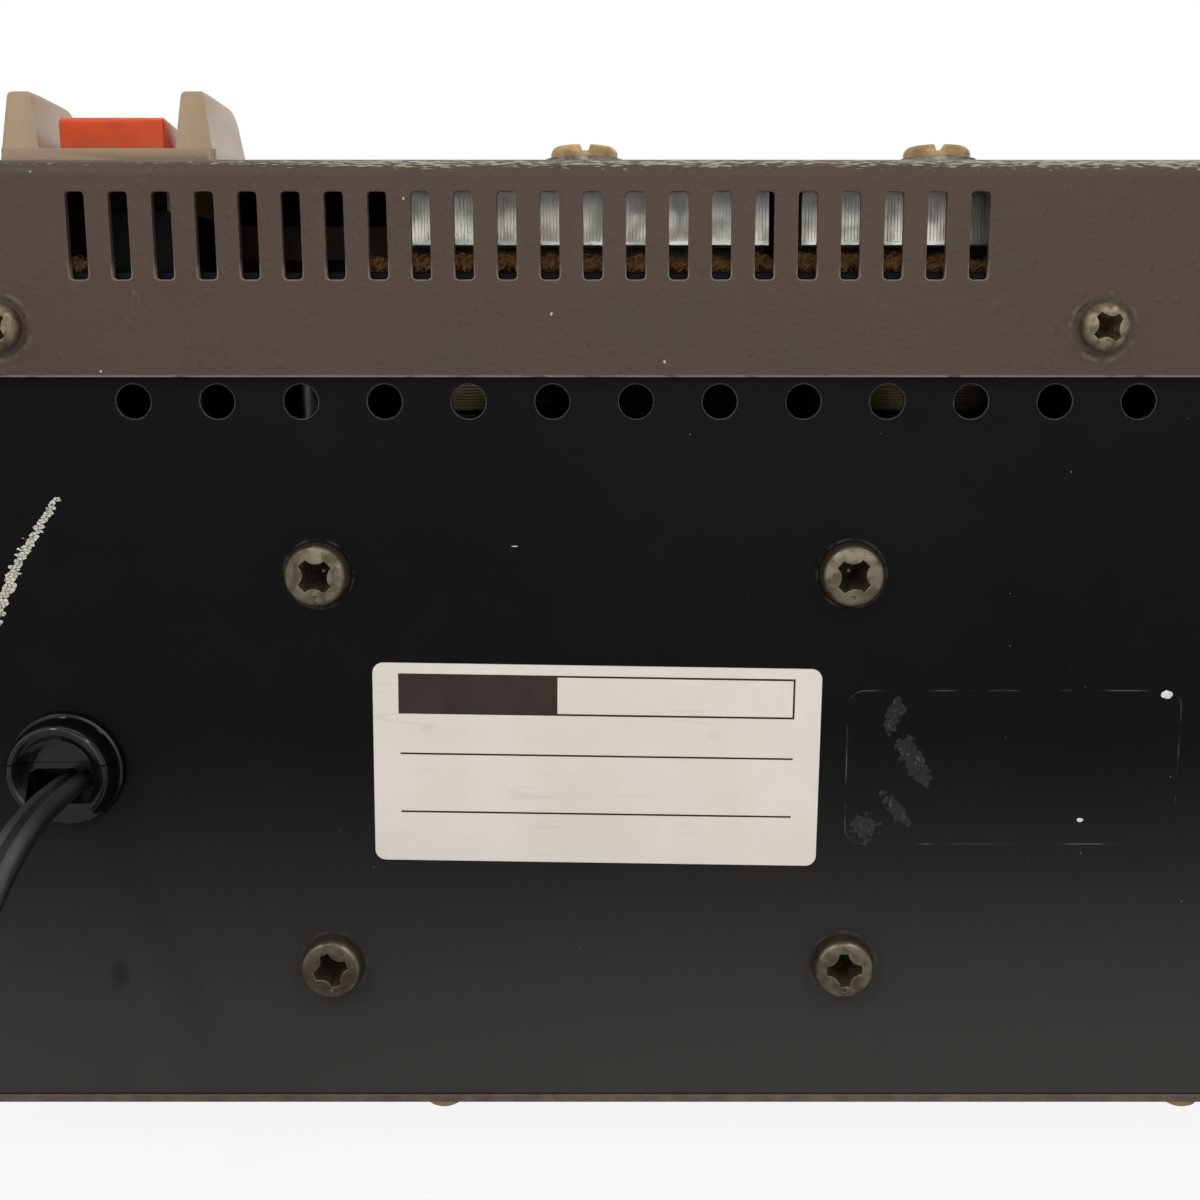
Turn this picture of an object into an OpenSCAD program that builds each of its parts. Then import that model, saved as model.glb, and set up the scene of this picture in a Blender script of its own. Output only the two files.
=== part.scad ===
// Cassette duplicator: a flat desk-top tape copier with one playing well and three
// copying wells, guarded power switch and mains lead at its rear right corner.
// Origin at the middle of the base, +Z up, front towards -Y, rear towards +Y.
// Its right side, as its user sees it, is +X.

/* [Case] */
// Width over the cover's side walls
case_w = 520; // [512:1:560]
// Depth from the front panel's face to the cover's rear flange
case_d = 290; // [286:1:320]
// Height from the bottom plate to the top of the cover
case_h = 142; // [138:1:160]
// Thickness of the cover's steel sheet
cover_t = 1.2; // [0.8:0.1:1.6]
// Outer radius of the cover's bends
cover_bend = 2.4; // [2:0.1:4]
// Drop of the cover's rear flange below the top
rear_flange = 30; // [28:1:36]
// Drop of the cover's front flange below the top
front_flange = 12; // [8:1:20]
// Clearance between the cover and what it slips over
cover_gap = 0.3; // [0.1:0.1:0.5]
// Thickness of the rear panel
panel_t = 1.5; // [1:0.1:2]
// Distance of the rear panel's top edge below the top of the case
panel_drop = 15.3; // [14:0.1:17]
// Width of the rear panel's turned-in flanges
panel_flange = 12; // [10:1:14]
// Outer radius of the rear panel's bends
panel_bend = 0.6; // [0.3:0.1:1.5]
// Thickness of the bottom plate
plate_t = 1.2; // [1:0.1:2]
// Height of the bottom plate's turned-up edges
plate_flange = 16; // [10:1:24]
// Depth of the moulded front panel
front_t = 10; // [8:1:14]
// Wall of the moulded front panel
front_wall = 3; // [2:0.5:4]
// Height of the bevel along the front panel's top edge
front_bevel = 16; // [8:1:24]
// Diameter of the rubber feet
foot_dia = 26; // [20:1:32]
// Height of the rubber feet
foot_h = 11; // [8:1:16]
// Distance of each foot's centre from the case's edges
foot_inset = 42; // [36:1:56]

/* [Rear vents] */
// Number of slots in the cover's rear flange
slot_count = 22; // [12:1:24]
// Spacing of the slots
slot_pitch = 6; // [5:0.5:7]
// Width of a slot
slot_w = 2.7; // [2:0.1:3.5]
// Height of a slot
slot_h = 12; // [8:0.5:14]
// Radius of a slot's corners
slot_r = 0.6; // [0.3:0.1:0.9]
// Distance of the slots' upper ends below the top
slot_drop = 4.5; // [4:0.1:6]
// Distance of the first slot from the case's right side
slot_inset = 38; // [34:1:50]
// Number of round vent holes in the rear panel
hole_count = 37; // [21:2:39]
// Spacing of the round vent holes
hole_pitch = 12; // [9:0.5:12.5]
// Diameter of the round vent holes
hole_dia = 5; // [3:0.5:6]
// Distance of the round vent holes below the top
hole_drop = 33.5; // [33:0.5:40]

/* [Fasteners] */
// Spacing of the cover's two inner rear screws
cover_screw_pitch = 156; // [140:1:160]
// Distance of the cover's two outer rear screws from the case's sides
cover_screw_inset = 26; // [20:1:30]
// Distance of the cover's rear screws below the top
cover_screw_drop = 23; // [20:0.5:24]
// Head diameter of the cover's screws
cover_head_dia = 7; // [6:0.1:8]
// Head height of the cover's screws
cover_head_h = 2.5; // [2:0.1:3]
// Shank diameter of the cover's screws
cover_shank = 4; // [3:0.5:4]
// Head diameter of the transformer's bolts
bolt_head_dia = 9.4; // [8:0.1:10.5]
// Head height of the transformer's bolts
bolt_head_h = 2.8; // [2:0.1:3.5]
// Shank diameter of the transformer's bolts
bolt_shank = 5; // [4:0.5:5]
// Head diameter of the transit screws
transit_head_dia = 9.6; // [8:0.1:11]
// Head height of the transit screws
transit_head_h = 2.6; // [2:0.1:3.5]
// Spacing of the transit screws
transit_pitch = 51; // [45:1:60]
// Diameter of the transit screws' washers
transit_washer_dia = 11.4; // [11:0.1:14]
// Thickness of the transit screws' washers
transit_washer_t = 0.8; // [0.5:0.1:1.2]
// Clearance round a shank or a bush
fit_gap = 0.05; // [0.03:0.01:0.08]

/* [Mains side] */
// Distance of the transformer's middle from the case's right side
transformer_inset = 108.5; // [106:0.5:112]
// Spacing of the transformer's bolts across the panel
bolt_pitch_x = 78; // [76:0.5:80]
// Spacing of the transformer's bolts down the panel
bolt_pitch_z = 60.5; // [58:0.5:64]
// Distance of the middle of the transformer's bolts below the middle of the case
bolt_drop = 17.75; // [14:0.25:24]
// Width of the transformer's outer limbs
limb_w = 15.6; // [15:0.1:16]
// Thickness of the transformer's stack of laminations
stack_t = 36; // [28:1:40]
// Distance that the winding stands out of the laminations
winding_out = 15; // [10:1:16]
// Distance between the rear panel and the transformer
spacer_l = 17; // [16.5:0.5:20]
// Width of the rating plate
label_w = 66.6; // [50:1:70]
// Height of the rating plate
label_h = 30.5; // [20:0.5:36]
// Thickness of the rating plate
label_t = 0.2; // [0.1:0.05:0.5]
// Distance of the rating plate's upper edge below the top
label_drop = 72.2; // [68:0.1:76]
// Diameter of the lead's bushing
bushing_dia = 17.2; // [15:0.1:18]
// Distance that the bushing stands out of the rear panel
bushing_out = 5; // [4:0.5:6]
// Distance of the bushing from the case's right side
bushing_inset = 31; // [28:0.5:33]
// Distance of the bushing below the top
bushing_drop = 87.7; // [80:0.1:92]
// Width of the flat two-core lead
cord_w = 5.2; // [4.8:0.1:5.4]
// Thickness of the flat two-core lead
cord_t = 3; // [2.6:0.1:3.1]
// Length of the plug's body
plug_l = 28; // [24:1:34]
// Width of the plug's body
plug_w = 20; // [18:1:24]
// Thickness of the plug's body
plug_t = 13; // [11:0.5:13]

/* [Power switch] */
// Distance of the switch guard's middle from the case's right side
switch_inset = 38.4; // [36:0.2:42]
// Distance of the switch guard's middle in front of the rear flange
switch_setback = 22.3; // [20:0.1:30]
// Length of the switch guard from front to rear
guard_l = 19.6; // [19:0.1:24]
// Height of the switch guard's base
guard_base_h = 2.9; // [2.5:0.1:4]
// Height of the switch guard's two side fins
guard_fin_h = 11.2; // [9:0.1:13]
// Width of a fin at its foot
guard_fin_foot = 6.2; // [5:0.1:7]
// Width of a fin at its top
guard_fin_top = 3.1; // [2.5:0.1:4]
// Distance of each fin's middle from the switch's middle
guard_fin_x = 12.7; // [12:0.1:13.5]
// Width of the orange rocker
rocker_w = 15.5; // [14:0.1:16]
// Length of the orange rocker
rocker_l = 15; // [13:0.1:15.2]
// Height of the rocker's top above the cover at its raised end
rocker_rise = 7.7; // [6:0.1:8.4]
// Slope of the rocker's top, half of its throw
rocker_tilt = 7; // [3:0.5:8]

/* [Wells] */
// Number of millimetres from one well to the next
well_pitch = 114; // [113:0.5:116]
// Depth of a well below the deck panel's face
well_depth = 11.5; // [10:0.5:13]
// Width of a well's tray
tray_w = 109; // [107:0.5:110]
// Wall of a well's tray
tray_t = 2; // [1.5:0.1:2.5]
// Distance from the spindles' line to the tray's front edge
tray_front = 58; // [57:0.5:62]
// Distance from the spindles' line to the tray's rear edge
tray_rear = 34; // [33:0.5:38]
// Spacing of the two spindles of a well
spindle_pitch = 42.5; // [42:0.1:43]
// Diameter of a spindle's hub
spindle_hub_dia = 6.6; // [6:0.1:7]
// Diameter over a spindle's drive wings
spindle_wing_dia = 9; // [8.6:0.1:9.4]
// Diameter of a spindle's reel table
reel_dia = 33; // [28:1:36]
// Diameter of a capstan's shaft
capstan_dia = 2.5; // [2:0.1:3]
// Distance of the capstan to the right of the well's middle
capstan_x = 20.5; // [20:0.1:21]
// Distance of the capstan in front of the spindles' line
capstan_y = 26; // [25.5:0.1:26.5]
// Diameter of the flywheels
flywheel_dia = 66; // [56:1:72]
// Thickness of the flywheels' rims
flywheel_t = 8; // [6:0.5:9]
// Diameter of the flywheels' pulleys
fly_pulley_dia = 30; // [24:1:34]
// Diameter of the motor's pulley
motor_pulley_dia = 16; // [12:1:20]
// Width of the drive belts
belt_w = 3; // [2:0.1:3.4]
// Thickness of the drive belts
belt_t = 0.8; // [0.6:0.1:1.2]
// Diameter of a pinch roller
roller_dia = 13; // [12:0.1:14]
// Length of a pinch roller
roller_h = 8; // [7:0.1:9]
// Travel of the head carriage
head_travel = 8; // [6:0.5:8]

/* [Controls] */
// Width of the deck panel
deck_w = 480; // [476:1:488]
// Thickness of the deck panel
deck_t = 2.5; // [2:0.1:3]
// Overlap of the deck panel on the cover
deck_lip = 7; // [5:0.5:9]
// Depth of the control strip in front of the wells
strip_d = 76; // [74:1:80]
// Width of a key's cap
key_w = 20; // [16:1:22]
// Length of a key's cap
key_l = 26; // [20:1:30]
// Height of a key's cap above the deck panel
key_rise = 6; // [5:0.5:8]
// Travel of a key
key_travel = 3; // [2:0.5:3.5]
// Spacing of the keys
key_pitch = 28; // [26:1:30]
// Diameter of the level dials
dial_dia = 30; // [24:1:34]
// Height of the level dials
dial_h = 15; // [12:1:18]
// Spacing of the level dials
dial_pitch = 46; // [42:1:50]
// Diameter of the indicator lamps
lamp_dia = 5; // [3:0.5:6]

/* [Hidden] */
$fn = 48;

// Every cut runs this far past the face that it opens
over = 1;

// The bushing stands out of the rear, so the case sits forward by half of that
rear_out = bushing_out - cover_t - cover_gap;
rear_y = case_d / 2 - rear_out / 2;
front_y = -case_d / 2 - rear_out / 2;
base_z = foot_h;
top_z = foot_h + case_h;
right_x = case_w / 2;
floor_z = base_z + plate_t;
cover_front_y = front_y + front_t;
panel_y = rear_y - cover_t - cover_gap;
panel_in_y = panel_y - panel_t;
inner_x = case_w / 2 - cover_t - cover_gap;
plate_setback = 1;
corner_relief = 5;
groove_inset = 30;
groove_z = base_z + 34;
groove_h = 4;
groove_d = 1.2;

// Screws
cover_screw_z = top_z - cover_screw_drop;
side_screw_z = floor_z + 9;
side_screw_y = [front_y + 60, rear_y - 60];
cover_screw_x = [cover_screw_inset - right_x, -cover_screw_pitch / 2,
                 cover_screw_pitch / 2, right_x - cover_screw_inset];
screw_l = 8;
bottom_screw_inset = 5.6;
bottom_screw_pitch = 116;
bottom_screw_side = 85.5;
bottom_screw_x = [bottom_screw_side - right_x, -bottom_screw_pitch / 2,
                  bottom_screw_pitch / 2, right_x - bottom_screw_side];
bottom_shank = 3;
bottom_head_dia = 6;
bottom_head_h = 2;
foot_pocket_dia = 10;
foot_pocket_h = 6;

// Deck panel and wells
hub_y = 6;
deck_z = top_z + deck_t;
tray_y0 = hub_y - tray_front;
tray_y1 = hub_y + tray_rear;
deck_y0 = tray_y0 - strip_d;
deck_margin = 12;
deck_y1 = tray_y1 + deck_margin;
deck_rim_h = 8;
deck_fit = 0.3;
deck_corner = 6;
rim_t = 2;
tray_floor_z = deck_z - well_depth;
tray_corner = 4;
wells = [0, 1, 2, 3];
slot_half = 38;
slot_rear = 22;
slot_y1 = hub_y - slot_rear;
spindle_hole_gap = 1.5;
tray_leg_r = 4;
tray_leg_inset = 7;

// Mechanism, from the top down
mech_drop = 14;
mech_top_z = tray_floor_z - mech_drop;
mech_t = 2;
mech_half = 228;
mech_front = 78;
mech_margin = 6;
mech_z = mech_top_z - mech_t;
reel_z = mech_top_z + 3.4;
reel_t = 3.6;
shaft_top_z = tray_floor_z + 10;
spindle_shaft_r = 1.5;
bush_r = 3.8;
bush_h = 7;
bush_z = mech_z - 3.5;
flywheel_top_z = mech_z - 8;
flywheel_z = flywheel_top_z - flywheel_t;
pulley_h = 12;
pulley_z = flywheel_z - pulley_h;
belt_gap = 0.3;
pulley_rim = 2;
belt_low_z = pulley_z + pulley_rim;
belt_high_z = pulley_z + pulley_h - pulley_rim - belt_w;
motor_offset = 64;
motor_at = [well_x(0) + capstan_x, hub_y + motor_offset];
motor_r = 25;
motor_top_z = pulley_z - 3;
motor_h = 44;
motor_boss_r = 5;
motor_boss_h = 1.5;
motor_shaft_r = 1.5;
rotor_l = 8;
pillar_r = 3;
pillar_ring = 20;
post_r = 4;
spacer_wall = 2;
post_inset = 13;
post_x = [post_inset - mech_half, well_x(1) - 36.5, well_x(2) - 36.5, mech_half - post_inset];
post_y = [hub_y - 66, hub_y + 34];

// Head carriage at rest, with the tape heads clear of the cassette
carriage_gap = 0.3;
plate_z = mech_top_z + carriage_gap;
head_plate_t = 1.5;
head_plate_half = 34;
head_plate_l = 34;
head_setback = 36;
head_face_y = hub_y - head_setback;
head_plate_y1 = head_face_y - 4;
head_plate_y0 = head_plate_y1 - head_plate_l;
head_size = [12, 11, 11];
head_z = tray_floor_z + 0.5;
head_nose_r = 9;
erase_x = [13, 20];
roller_gap = 0.3;
roller_pin_r = 1.25;
roller_z = tray_floor_z + 1.7;
bracket_half = 5;
bracket_front = 11;
bracket_rear = 4;
roller_y = hub_y - capstan_y - capstan_dia / 2 - roller_dia / 2 - roller_gap - head_travel;
bar_w = 6;
bar_y = head_plate_y0 + 1;
bar_z = plate_z + head_plate_t;
bar_t = 1.5;
plunger_r = 4;
plunger_z = mech_top_z + 8;
plunger_l = 34;
solenoid_l = 24;
solenoid_w = 22;
solenoid_y1 = bar_y - head_travel - 2;

// Circuit board and heat sinks
board_z = top_z - 27;
board_t = 1.6;
board_w = 237;
board_l = 78;
board_inset = 53;
board_setback = 2;
board_x = [right_x - board_inset - board_w, right_x - board_inset];
board_y = [panel_in_y - board_setback - board_l, panel_in_y - board_setback];
board_post_x = [board_x[0] + 6, board_x[1] - 5];
board_post_y = [board_y[0] + 6, board_y[1] - 12];
sink_y = rear_y - 18;
sink_w = 55;
sink_pitch = 60;
sink_inset = 81;
sink_x = [right_x - sink_inset - sink_w - sink_pitch, right_x - sink_inset - sink_w];
sink_web = 3;
sink_t = 10;
sink_h = 8.2;
sink_top_z = top_z - 2.3;
fin_pitch = 1.1;
fin_depth = 0.6;
capacitor_at = [26, 44];
capacitor_pitch = 24;
capacitor_r = 9;
capacitor_h = 20;

// Power switch
switch_x = right_x - switch_inset;
switch_y = rear_y - switch_setback;
pin_z = top_z - 0.5;
pin_r = 1.5;
pin_end_gap = 0.4;
rocker_gap = 0.35;
rocker_sole = 5.6;
rocker_edge = 0.6;
rocker_throw = 2 * rocker_tilt;
// Height on the tipped rocker's end that lies level with the top of the guard's base, and
// half the length of the opening that this end needs there
tipped_h = (guard_base_h + top_z - pin_z + rocker_l / 2 * sin(rocker_throw)) / cos(rocker_throw);
opening_half = rocker_l / 2 * cos(rocker_throw) + tipped_h * sin(rocker_throw) + rocker_gap;
skirt_h = 6;
skirt_w = 21;
skirt_l = guard_l - 2;
skirt_fit = 0.3;
switch_body_h = 18;

// Mains side
transformer_x = right_x - transformer_inset;
transformer_z = (base_z + top_z) / 2 - bolt_drop;
core_w = 6 * limb_w;
core_h = 5 * limb_w;
core_y = panel_in_y - spacer_l;
winding_fit = 0.3;
bushing_x = right_x - bushing_inset;
bushing_z = top_z - bushing_drop;
bushing_flange = 1.2;
neck_gap = 0.8;
mouth_depth = bushing_out + 1;
mouth_half = 4.9;
mouth_r = 1.6;
label_x = right_x - 110;
label_tilt = -0.9;
transit_x = [transformer_x, transformer_x - transit_pitch];
transit_y = rear_y - 10;
transit_shank = 5;
transit_l = 4;

// Controls
strip_y = tray_y0 - strip_d / 2 - 2;
key_flange = 2;
key_flange_t = 1.5;
key_fit = 0.5;
key_x = [for (i = [-1, 0, 1]) well_x(0) + i * key_pitch];
dial_x = [well_x(1) - dial_pitch / 2, well_x(1) + dial_pitch / 2];
dial_shaft_r = 3;
dial_lift = 0.4;
dial_bore_l = 9;
pot_h = 11;
pot_r = 10;
lamp_x = [for (i = wells) well_x(i)];
lamp_y = tray_y0 - 10;
lamp_body = 6;
ctrl_board_z = top_z - 19;
ctrl_board_t = 1.6;
ctrl_x = [well_x(0) - 52, well_x(1) + 42];
ctrl_y = [strip_y - 24, strip_y + 20];
boss_r = 3;
boss_x = [ctrl_x[0] + 5, ctrl_x[1] - 5];
boss_y = [ctrl_y[0] + 5, ctrl_y[1] - 5];
dial_hole_r = 5;
key_corner = 1.2;

// Free stretch of the lead: out of the bushing, down to the table and along it
cord_route = [
    [228, 140.75, 63.3], [228, 146, 63.3], [228, 152, 63.1], [228.2, 158, 62.2],
    [228.5, 164, 60.2], [229, 170, 56.6], [229.6, 175.5, 51.4], [230.4, 180, 45],
    [231.2, 184, 37.4], [232.2, 187.5, 29.2], [233.2, 191, 21.4], [234.2, 195.5, 13.8],
    [235, 201, 7.6], [235.5, 208, 3.4], [235.75, 215, 1.7], [235.75, 222, 1.7]
];
cord_sides = 10;

// Coil of the lead behind the case, wound in four layers from its lowest outer turn
coil_at = [200, 222];
coil_z = 1.7;
coil_r = 35.75;
coil_turn_gap = 0.55;
coil_layer_gap = 0.65;
coil_layers = 4;
coil_turns_a_layer = 2.5;
coil_turns = coil_layers * coil_turns_a_layer + 0.25;
coil_rings = 24;
coil_sides = 6;
tail_l = 44;
tail_rings = 8;
plug_z = plug_t / 2;
blade_y = 6.35;
blade_t = 1.5;
blade_h = 6.3;
blade_l = 17;
blade_root = 6;

function well_x(i) = (i - 1.5) * well_pitch;
function supply_x(i) = well_x(i) - spindle_pitch / 2;
function takeup_x(i) = well_x(i) + spindle_pitch / 2;

// A box between two opposite corners
module box_between(low, high) {
    translate(low) cube(high - low);
}

// Rods along the three axes, each from its lower end
module rod_z(at, r, l) {
    translate(at) cylinder(r = r, h = l);
}
module rod_y(at, r, l) {
    translate(at) rotate([-90, 0, 0]) cylinder(r = r, h = l);
}
module rod_x(at, r, l) {
    translate(at) rotate([0, 90, 0]) cylinder(r = r, h = l);
}

// A profile of Y and Z drawn out along X, and one of X and Z drawn out along Y
module along_x(x0, x1) {
    translate([x0, 0, 0]) rotate([90, 0, 90]) linear_extrude(x1 - x0) children();
}
module along_y(y0, y1) {
    translate([0, y1, 0]) rotate([90, 0, 0]) linear_extrude(y1 - y0) children();
}

// A rectangle with all its corners rounded, and one with only its upper corners rounded
module round_rect(low, high, r) {
    translate([low[0] + r, low[1]]) square([high[0] - low[0] - 2 * r, high[1] - low[1]]);
    translate([low[0], low[1] + r]) square([high[0] - low[0], high[1] - low[1] - 2 * r]);
    for (x = [low[0] + r, high[0] - r], y = [low[1] + r, high[1] - r])
        translate([x, y]) circle(r = r);
}
module round_top(low, high, r) {
    translate(low) square([high[0] - low[0], high[1] - low[1] - r]);
    translate([low[0] + r, low[1]]) square([high[0] - low[0] - 2 * r, high[1] - low[1]]);
    for (x = [low[0] + r, high[0] - r]) translate([x, high[1] - r]) circle(r = r);
}
module round_plate(low, high, z0, z1, r) {
    translate([0, 0, z0]) linear_extrude(z1 - z0) round_rect(low, high, r);
}

// A pan-head screw along +Y or along +Z with a cross recess, its shank behind the head
module cross_screw(head_r, head_h, shank_r, shank_l) {
    difference() {
        rotate_extrude() polygon([
            [0, -shank_l], [shank_r, -shank_l], [shank_r, 0], [head_r * 0.94, 0],
            [head_r, head_h * 0.18], [head_r, head_h * 0.45], [head_r * 0.9, head_h * 0.74],
            [head_r * 0.72, head_h * 0.92], [head_r * 0.5, head_h], [0, head_h]
        ]);
        for (turn = [0, 90]) rotate(turn)
            translate([-head_r * 0.52, -head_r * 0.11, head_h * 0.35])
                cube([head_r * 1.04, head_r * 0.22, head_h]);
    }
}

// The cover's outer shape, drawn in on every side by inset
module cover_form(inset, low_z) {
    half = case_w / 2 - inset;
    y0 = cover_front_y + inset;
    y1 = rear_y - inset;
    z1 = top_z - inset;
    intersection() {
        along_x(-half, half) round_top([y0, low_z], [y1, z1], cover_bend - inset);
        along_y(y0, y1) round_top([-half, low_z], [half, z1], cover_bend - inset);
    }
}

module top_cover() {
    slot_x = right_x - slot_inset;
    color([0.31, 0.27, 0.25]) difference() {
        cover_form(0, floor_z);
        cover_form(cover_t, floor_z - over);
        box_between([-inner_x, rear_y - cover_t - over, floor_z - over],
                    [inner_x, rear_y + over, top_z - rear_flange]);
        box_between([-inner_x, cover_front_y - over, floor_z - over],
                    [inner_x, cover_front_y + cover_t + over, top_z - front_flange]);
        round_plate([-deck_w / 2 + deck_lip, deck_y0 + deck_lip],
                    [deck_w / 2 - deck_lip, deck_y1 - deck_lip],
                    top_z - cover_t - over, top_z + over, deck_corner);
        along_y(rear_y - cover_t - over, rear_y + over)
            for (i = [0:slot_count - 1])
                round_rect([slot_x - i * slot_pitch - slot_w / 2, top_z - slot_drop - slot_h],
                           [slot_x - i * slot_pitch + slot_w / 2, top_z - slot_drop], slot_r);
        for (x = cover_screw_x)
            rod_y([x, rear_y - cover_t - over, cover_screw_z],
                  cover_shank / 2 + 4 * fit_gap, cover_t + 2 * over);
        for (y = side_screw_y)
            rod_x([-case_w / 2 - over, y, side_screw_z], cover_shank / 2 + 4 * fit_gap,
                  case_w + 2 * over);
        box_between([switch_x - skirt_w / 2 - skirt_fit, switch_y - skirt_l / 2 - skirt_fit,
                     top_z - 2 * cover_t],
                    [switch_x + skirt_w / 2 + skirt_fit, switch_y + skirt_l / 2 + skirt_fit,
                     top_z + over]);
        for (x = transit_x)
            rod_z([x, transit_y, top_z - cover_t - over], transit_shank / 2 + fit_gap,
                  cover_t + 2 * over);
    }
}

module rear_panel() {
    color([0.05, 0.05, 0.055]) difference() {
        along_x(-inner_x, inner_x) difference() {
            round_rect([panel_y - panel_flange, floor_z], [panel_y, top_z - panel_drop], panel_bend);
            translate([panel_y - panel_flange - over, floor_z + panel_t])
                square([panel_flange + over - panel_t, case_h - panel_drop - plate_t - 2 * panel_t]);
        }
        for (i = [0:hole_count - 1])
            rod_y([(i - (hole_count - 1) / 2) * hole_pitch, panel_in_y - over, top_z - hole_drop],
                  hole_dia / 2, panel_t + 2 * over);
        for (x = cover_screw_x)
            rod_y([x, panel_in_y - over, cover_screw_z],
                  cover_shank / 2 + fit_gap, panel_t + 2 * over);
        for (x = [-1, 1], z = [-1, 1])
            rod_y([transformer_x + x * bolt_pitch_x / 2, panel_in_y - over,
                   transformer_z + z * bolt_pitch_z / 2],
                  bolt_shank / 2 + fit_gap, panel_t + 2 * over);
        rod_y([bushing_x, panel_in_y - over, bushing_z], bushing_dia / 2 - neck_gap,
              panel_t + 2 * over);
        for (x = bottom_screw_x)
            rod_z([x, rear_y - bottom_screw_inset, floor_z - over], bottom_shank / 2 + fit_gap,
                  panel_t + 2 * over);
    }
}

module bottom_plate() {
    side_x = inner_x - plate_t;
    y0 = cover_front_y + plate_setback;
    color([0.31, 0.27, 0.25]) difference() {
        union() {
            box_between([-case_w / 2, y0, base_z], [case_w / 2, panel_y, floor_z]);
            for (x = [-inner_x, side_x])
                box_between([x, y0 + corner_relief, base_z],
                            [x + plate_t, panel_y - panel_flange - 1, floor_z + plate_flange]);
            box_between([-side_x + corner_relief, cover_front_y + cover_gap, base_z],
                        [side_x - corner_relief, cover_front_y + cover_gap + plate_t,
                         floor_z + plate_flange]);
        }
        for (x = bottom_screw_x)
            rod_z([x, rear_y - bottom_screw_inset, base_z - over], bottom_shank / 2 + fit_gap,
                  plate_t + 2 * over);
        for (y = side_screw_y)
            rod_x([-case_w / 2 - over, y, side_screw_z], cover_shank / 2 + fit_gap,
                  case_w + 2 * over);
        for (x = [-1, 1], y = [front_y + foot_inset, rear_y - foot_inset])
            rod_z([x * (right_x - foot_inset), y, base_z - over], 2 + fit_gap,
                  plate_t + 2 * over);
    }
}

module front_panel() {
    bevel_d = front_t - front_wall;
    color([0.31, 0.27, 0.25]) difference() {
        along_x(-case_w / 2, case_w / 2) polygon([
            [front_y, base_z], [cover_front_y, base_z], [cover_front_y, top_z],
            [front_y + bevel_d, top_z], [front_y, top_z - front_bevel]
        ]);
        along_x(-case_w / 2 + front_wall, case_w / 2 - front_wall) polygon([
            [front_y + front_wall, base_z + front_wall], [cover_front_y + over, base_z + front_wall],
            [cover_front_y + over, top_z - front_wall], [front_y + front_t - 1, top_z - front_wall],
            [front_y + front_wall, top_z - front_bevel - 1]
        ]);
        box_between([-case_w / 2 + groove_inset, front_y - over, groove_z],
                    [case_w / 2 - groove_inset, front_y + groove_d, groove_z + groove_h]);
    }
}

module deck_panel() {
    rim_x = deck_w / 2 - deck_lip - deck_fit;
    rim_y0 = deck_y0 + deck_lip + deck_fit;
    rim_y1 = deck_y1 - deck_lip - deck_fit;
    color([0.66, 0.6, 0.52]) {
        difference() {
            union() {
                round_plate([-deck_w / 2, deck_y0], [deck_w / 2, deck_y1], top_z, deck_z,
                            deck_corner + deck_lip);
                difference() {
                    round_plate([-rim_x, rim_y0], [rim_x, rim_y1], top_z - deck_rim_h, top_z,
                                deck_corner - deck_fit);
                    round_plate([-rim_x + rim_t, rim_y0 + rim_t], [rim_x - rim_t, rim_y1 - rim_t],
                                top_z - deck_rim_h - over, top_z, deck_corner - rim_t);
                }
                for (x = boss_x, y = boss_y)
                    rod_z([x, y, ctrl_board_z + ctrl_board_t], boss_r,
                          top_z - ctrl_board_z - ctrl_board_t);
            }
            for (i = wells)
                round_plate([well_x(i) - tray_w / 2 - deck_fit, tray_y0 - deck_fit],
                            [well_x(i) + tray_w / 2 + deck_fit, tray_y1 + deck_fit],
                            top_z - over, deck_z + over, tray_corner + deck_fit);
            for (x = key_x)
                round_plate([x - key_w / 2 - key_fit, strip_y - key_l / 2 - key_fit],
                            [x + key_w / 2 + key_fit, strip_y + key_l / 2 + key_fit],
                            top_z - over, deck_z + over, key_corner + key_fit);
            for (x = dial_x) rod_z([x, strip_y, top_z - over], dial_hole_r, deck_t + 2 * over);
            for (x = lamp_x)
                rod_z([x, lamp_y, top_z - over], lamp_dia / 2 + fit_gap, deck_t + 2 * over);
        }
    }
}

module cassette_trays() {
    color([0.07, 0.07, 0.07]) for (i = wells) difference() {
        union() {
            round_plate([well_x(i) - tray_w / 2, tray_y0], [well_x(i) + tray_w / 2, tray_y1],
                        tray_floor_z - tray_t, deck_z, tray_corner);
            for (x = [-1, 1], y = [tray_y0 + tray_leg_inset, tray_y1 - tray_leg_inset])
                rod_z([well_x(i) + x * (tray_w / 2 - tray_leg_inset), y, mech_top_z], tray_leg_r,
                      tray_floor_z - tray_t - mech_top_z);
        }
        round_plate([well_x(i) - tray_w / 2 + tray_t, tray_y0 + tray_t],
                    [well_x(i) + tray_w / 2 - tray_t, tray_y1 - tray_t],
                    tray_floor_z, deck_z + over, tray_corner - tray_t);
        box_between([well_x(i) - slot_half, tray_y0 + tray_t, tray_floor_z - tray_t - over],
                    [well_x(i) + slot_half, slot_y1, tray_floor_z + over]);
        for (x = [supply_x(i), takeup_x(i)])
            rod_z([x, hub_y, tray_floor_z - tray_t - over], spindle_wing_dia / 2 + spindle_hole_gap,
                  tray_t + 2 * over);
    }
}

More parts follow.
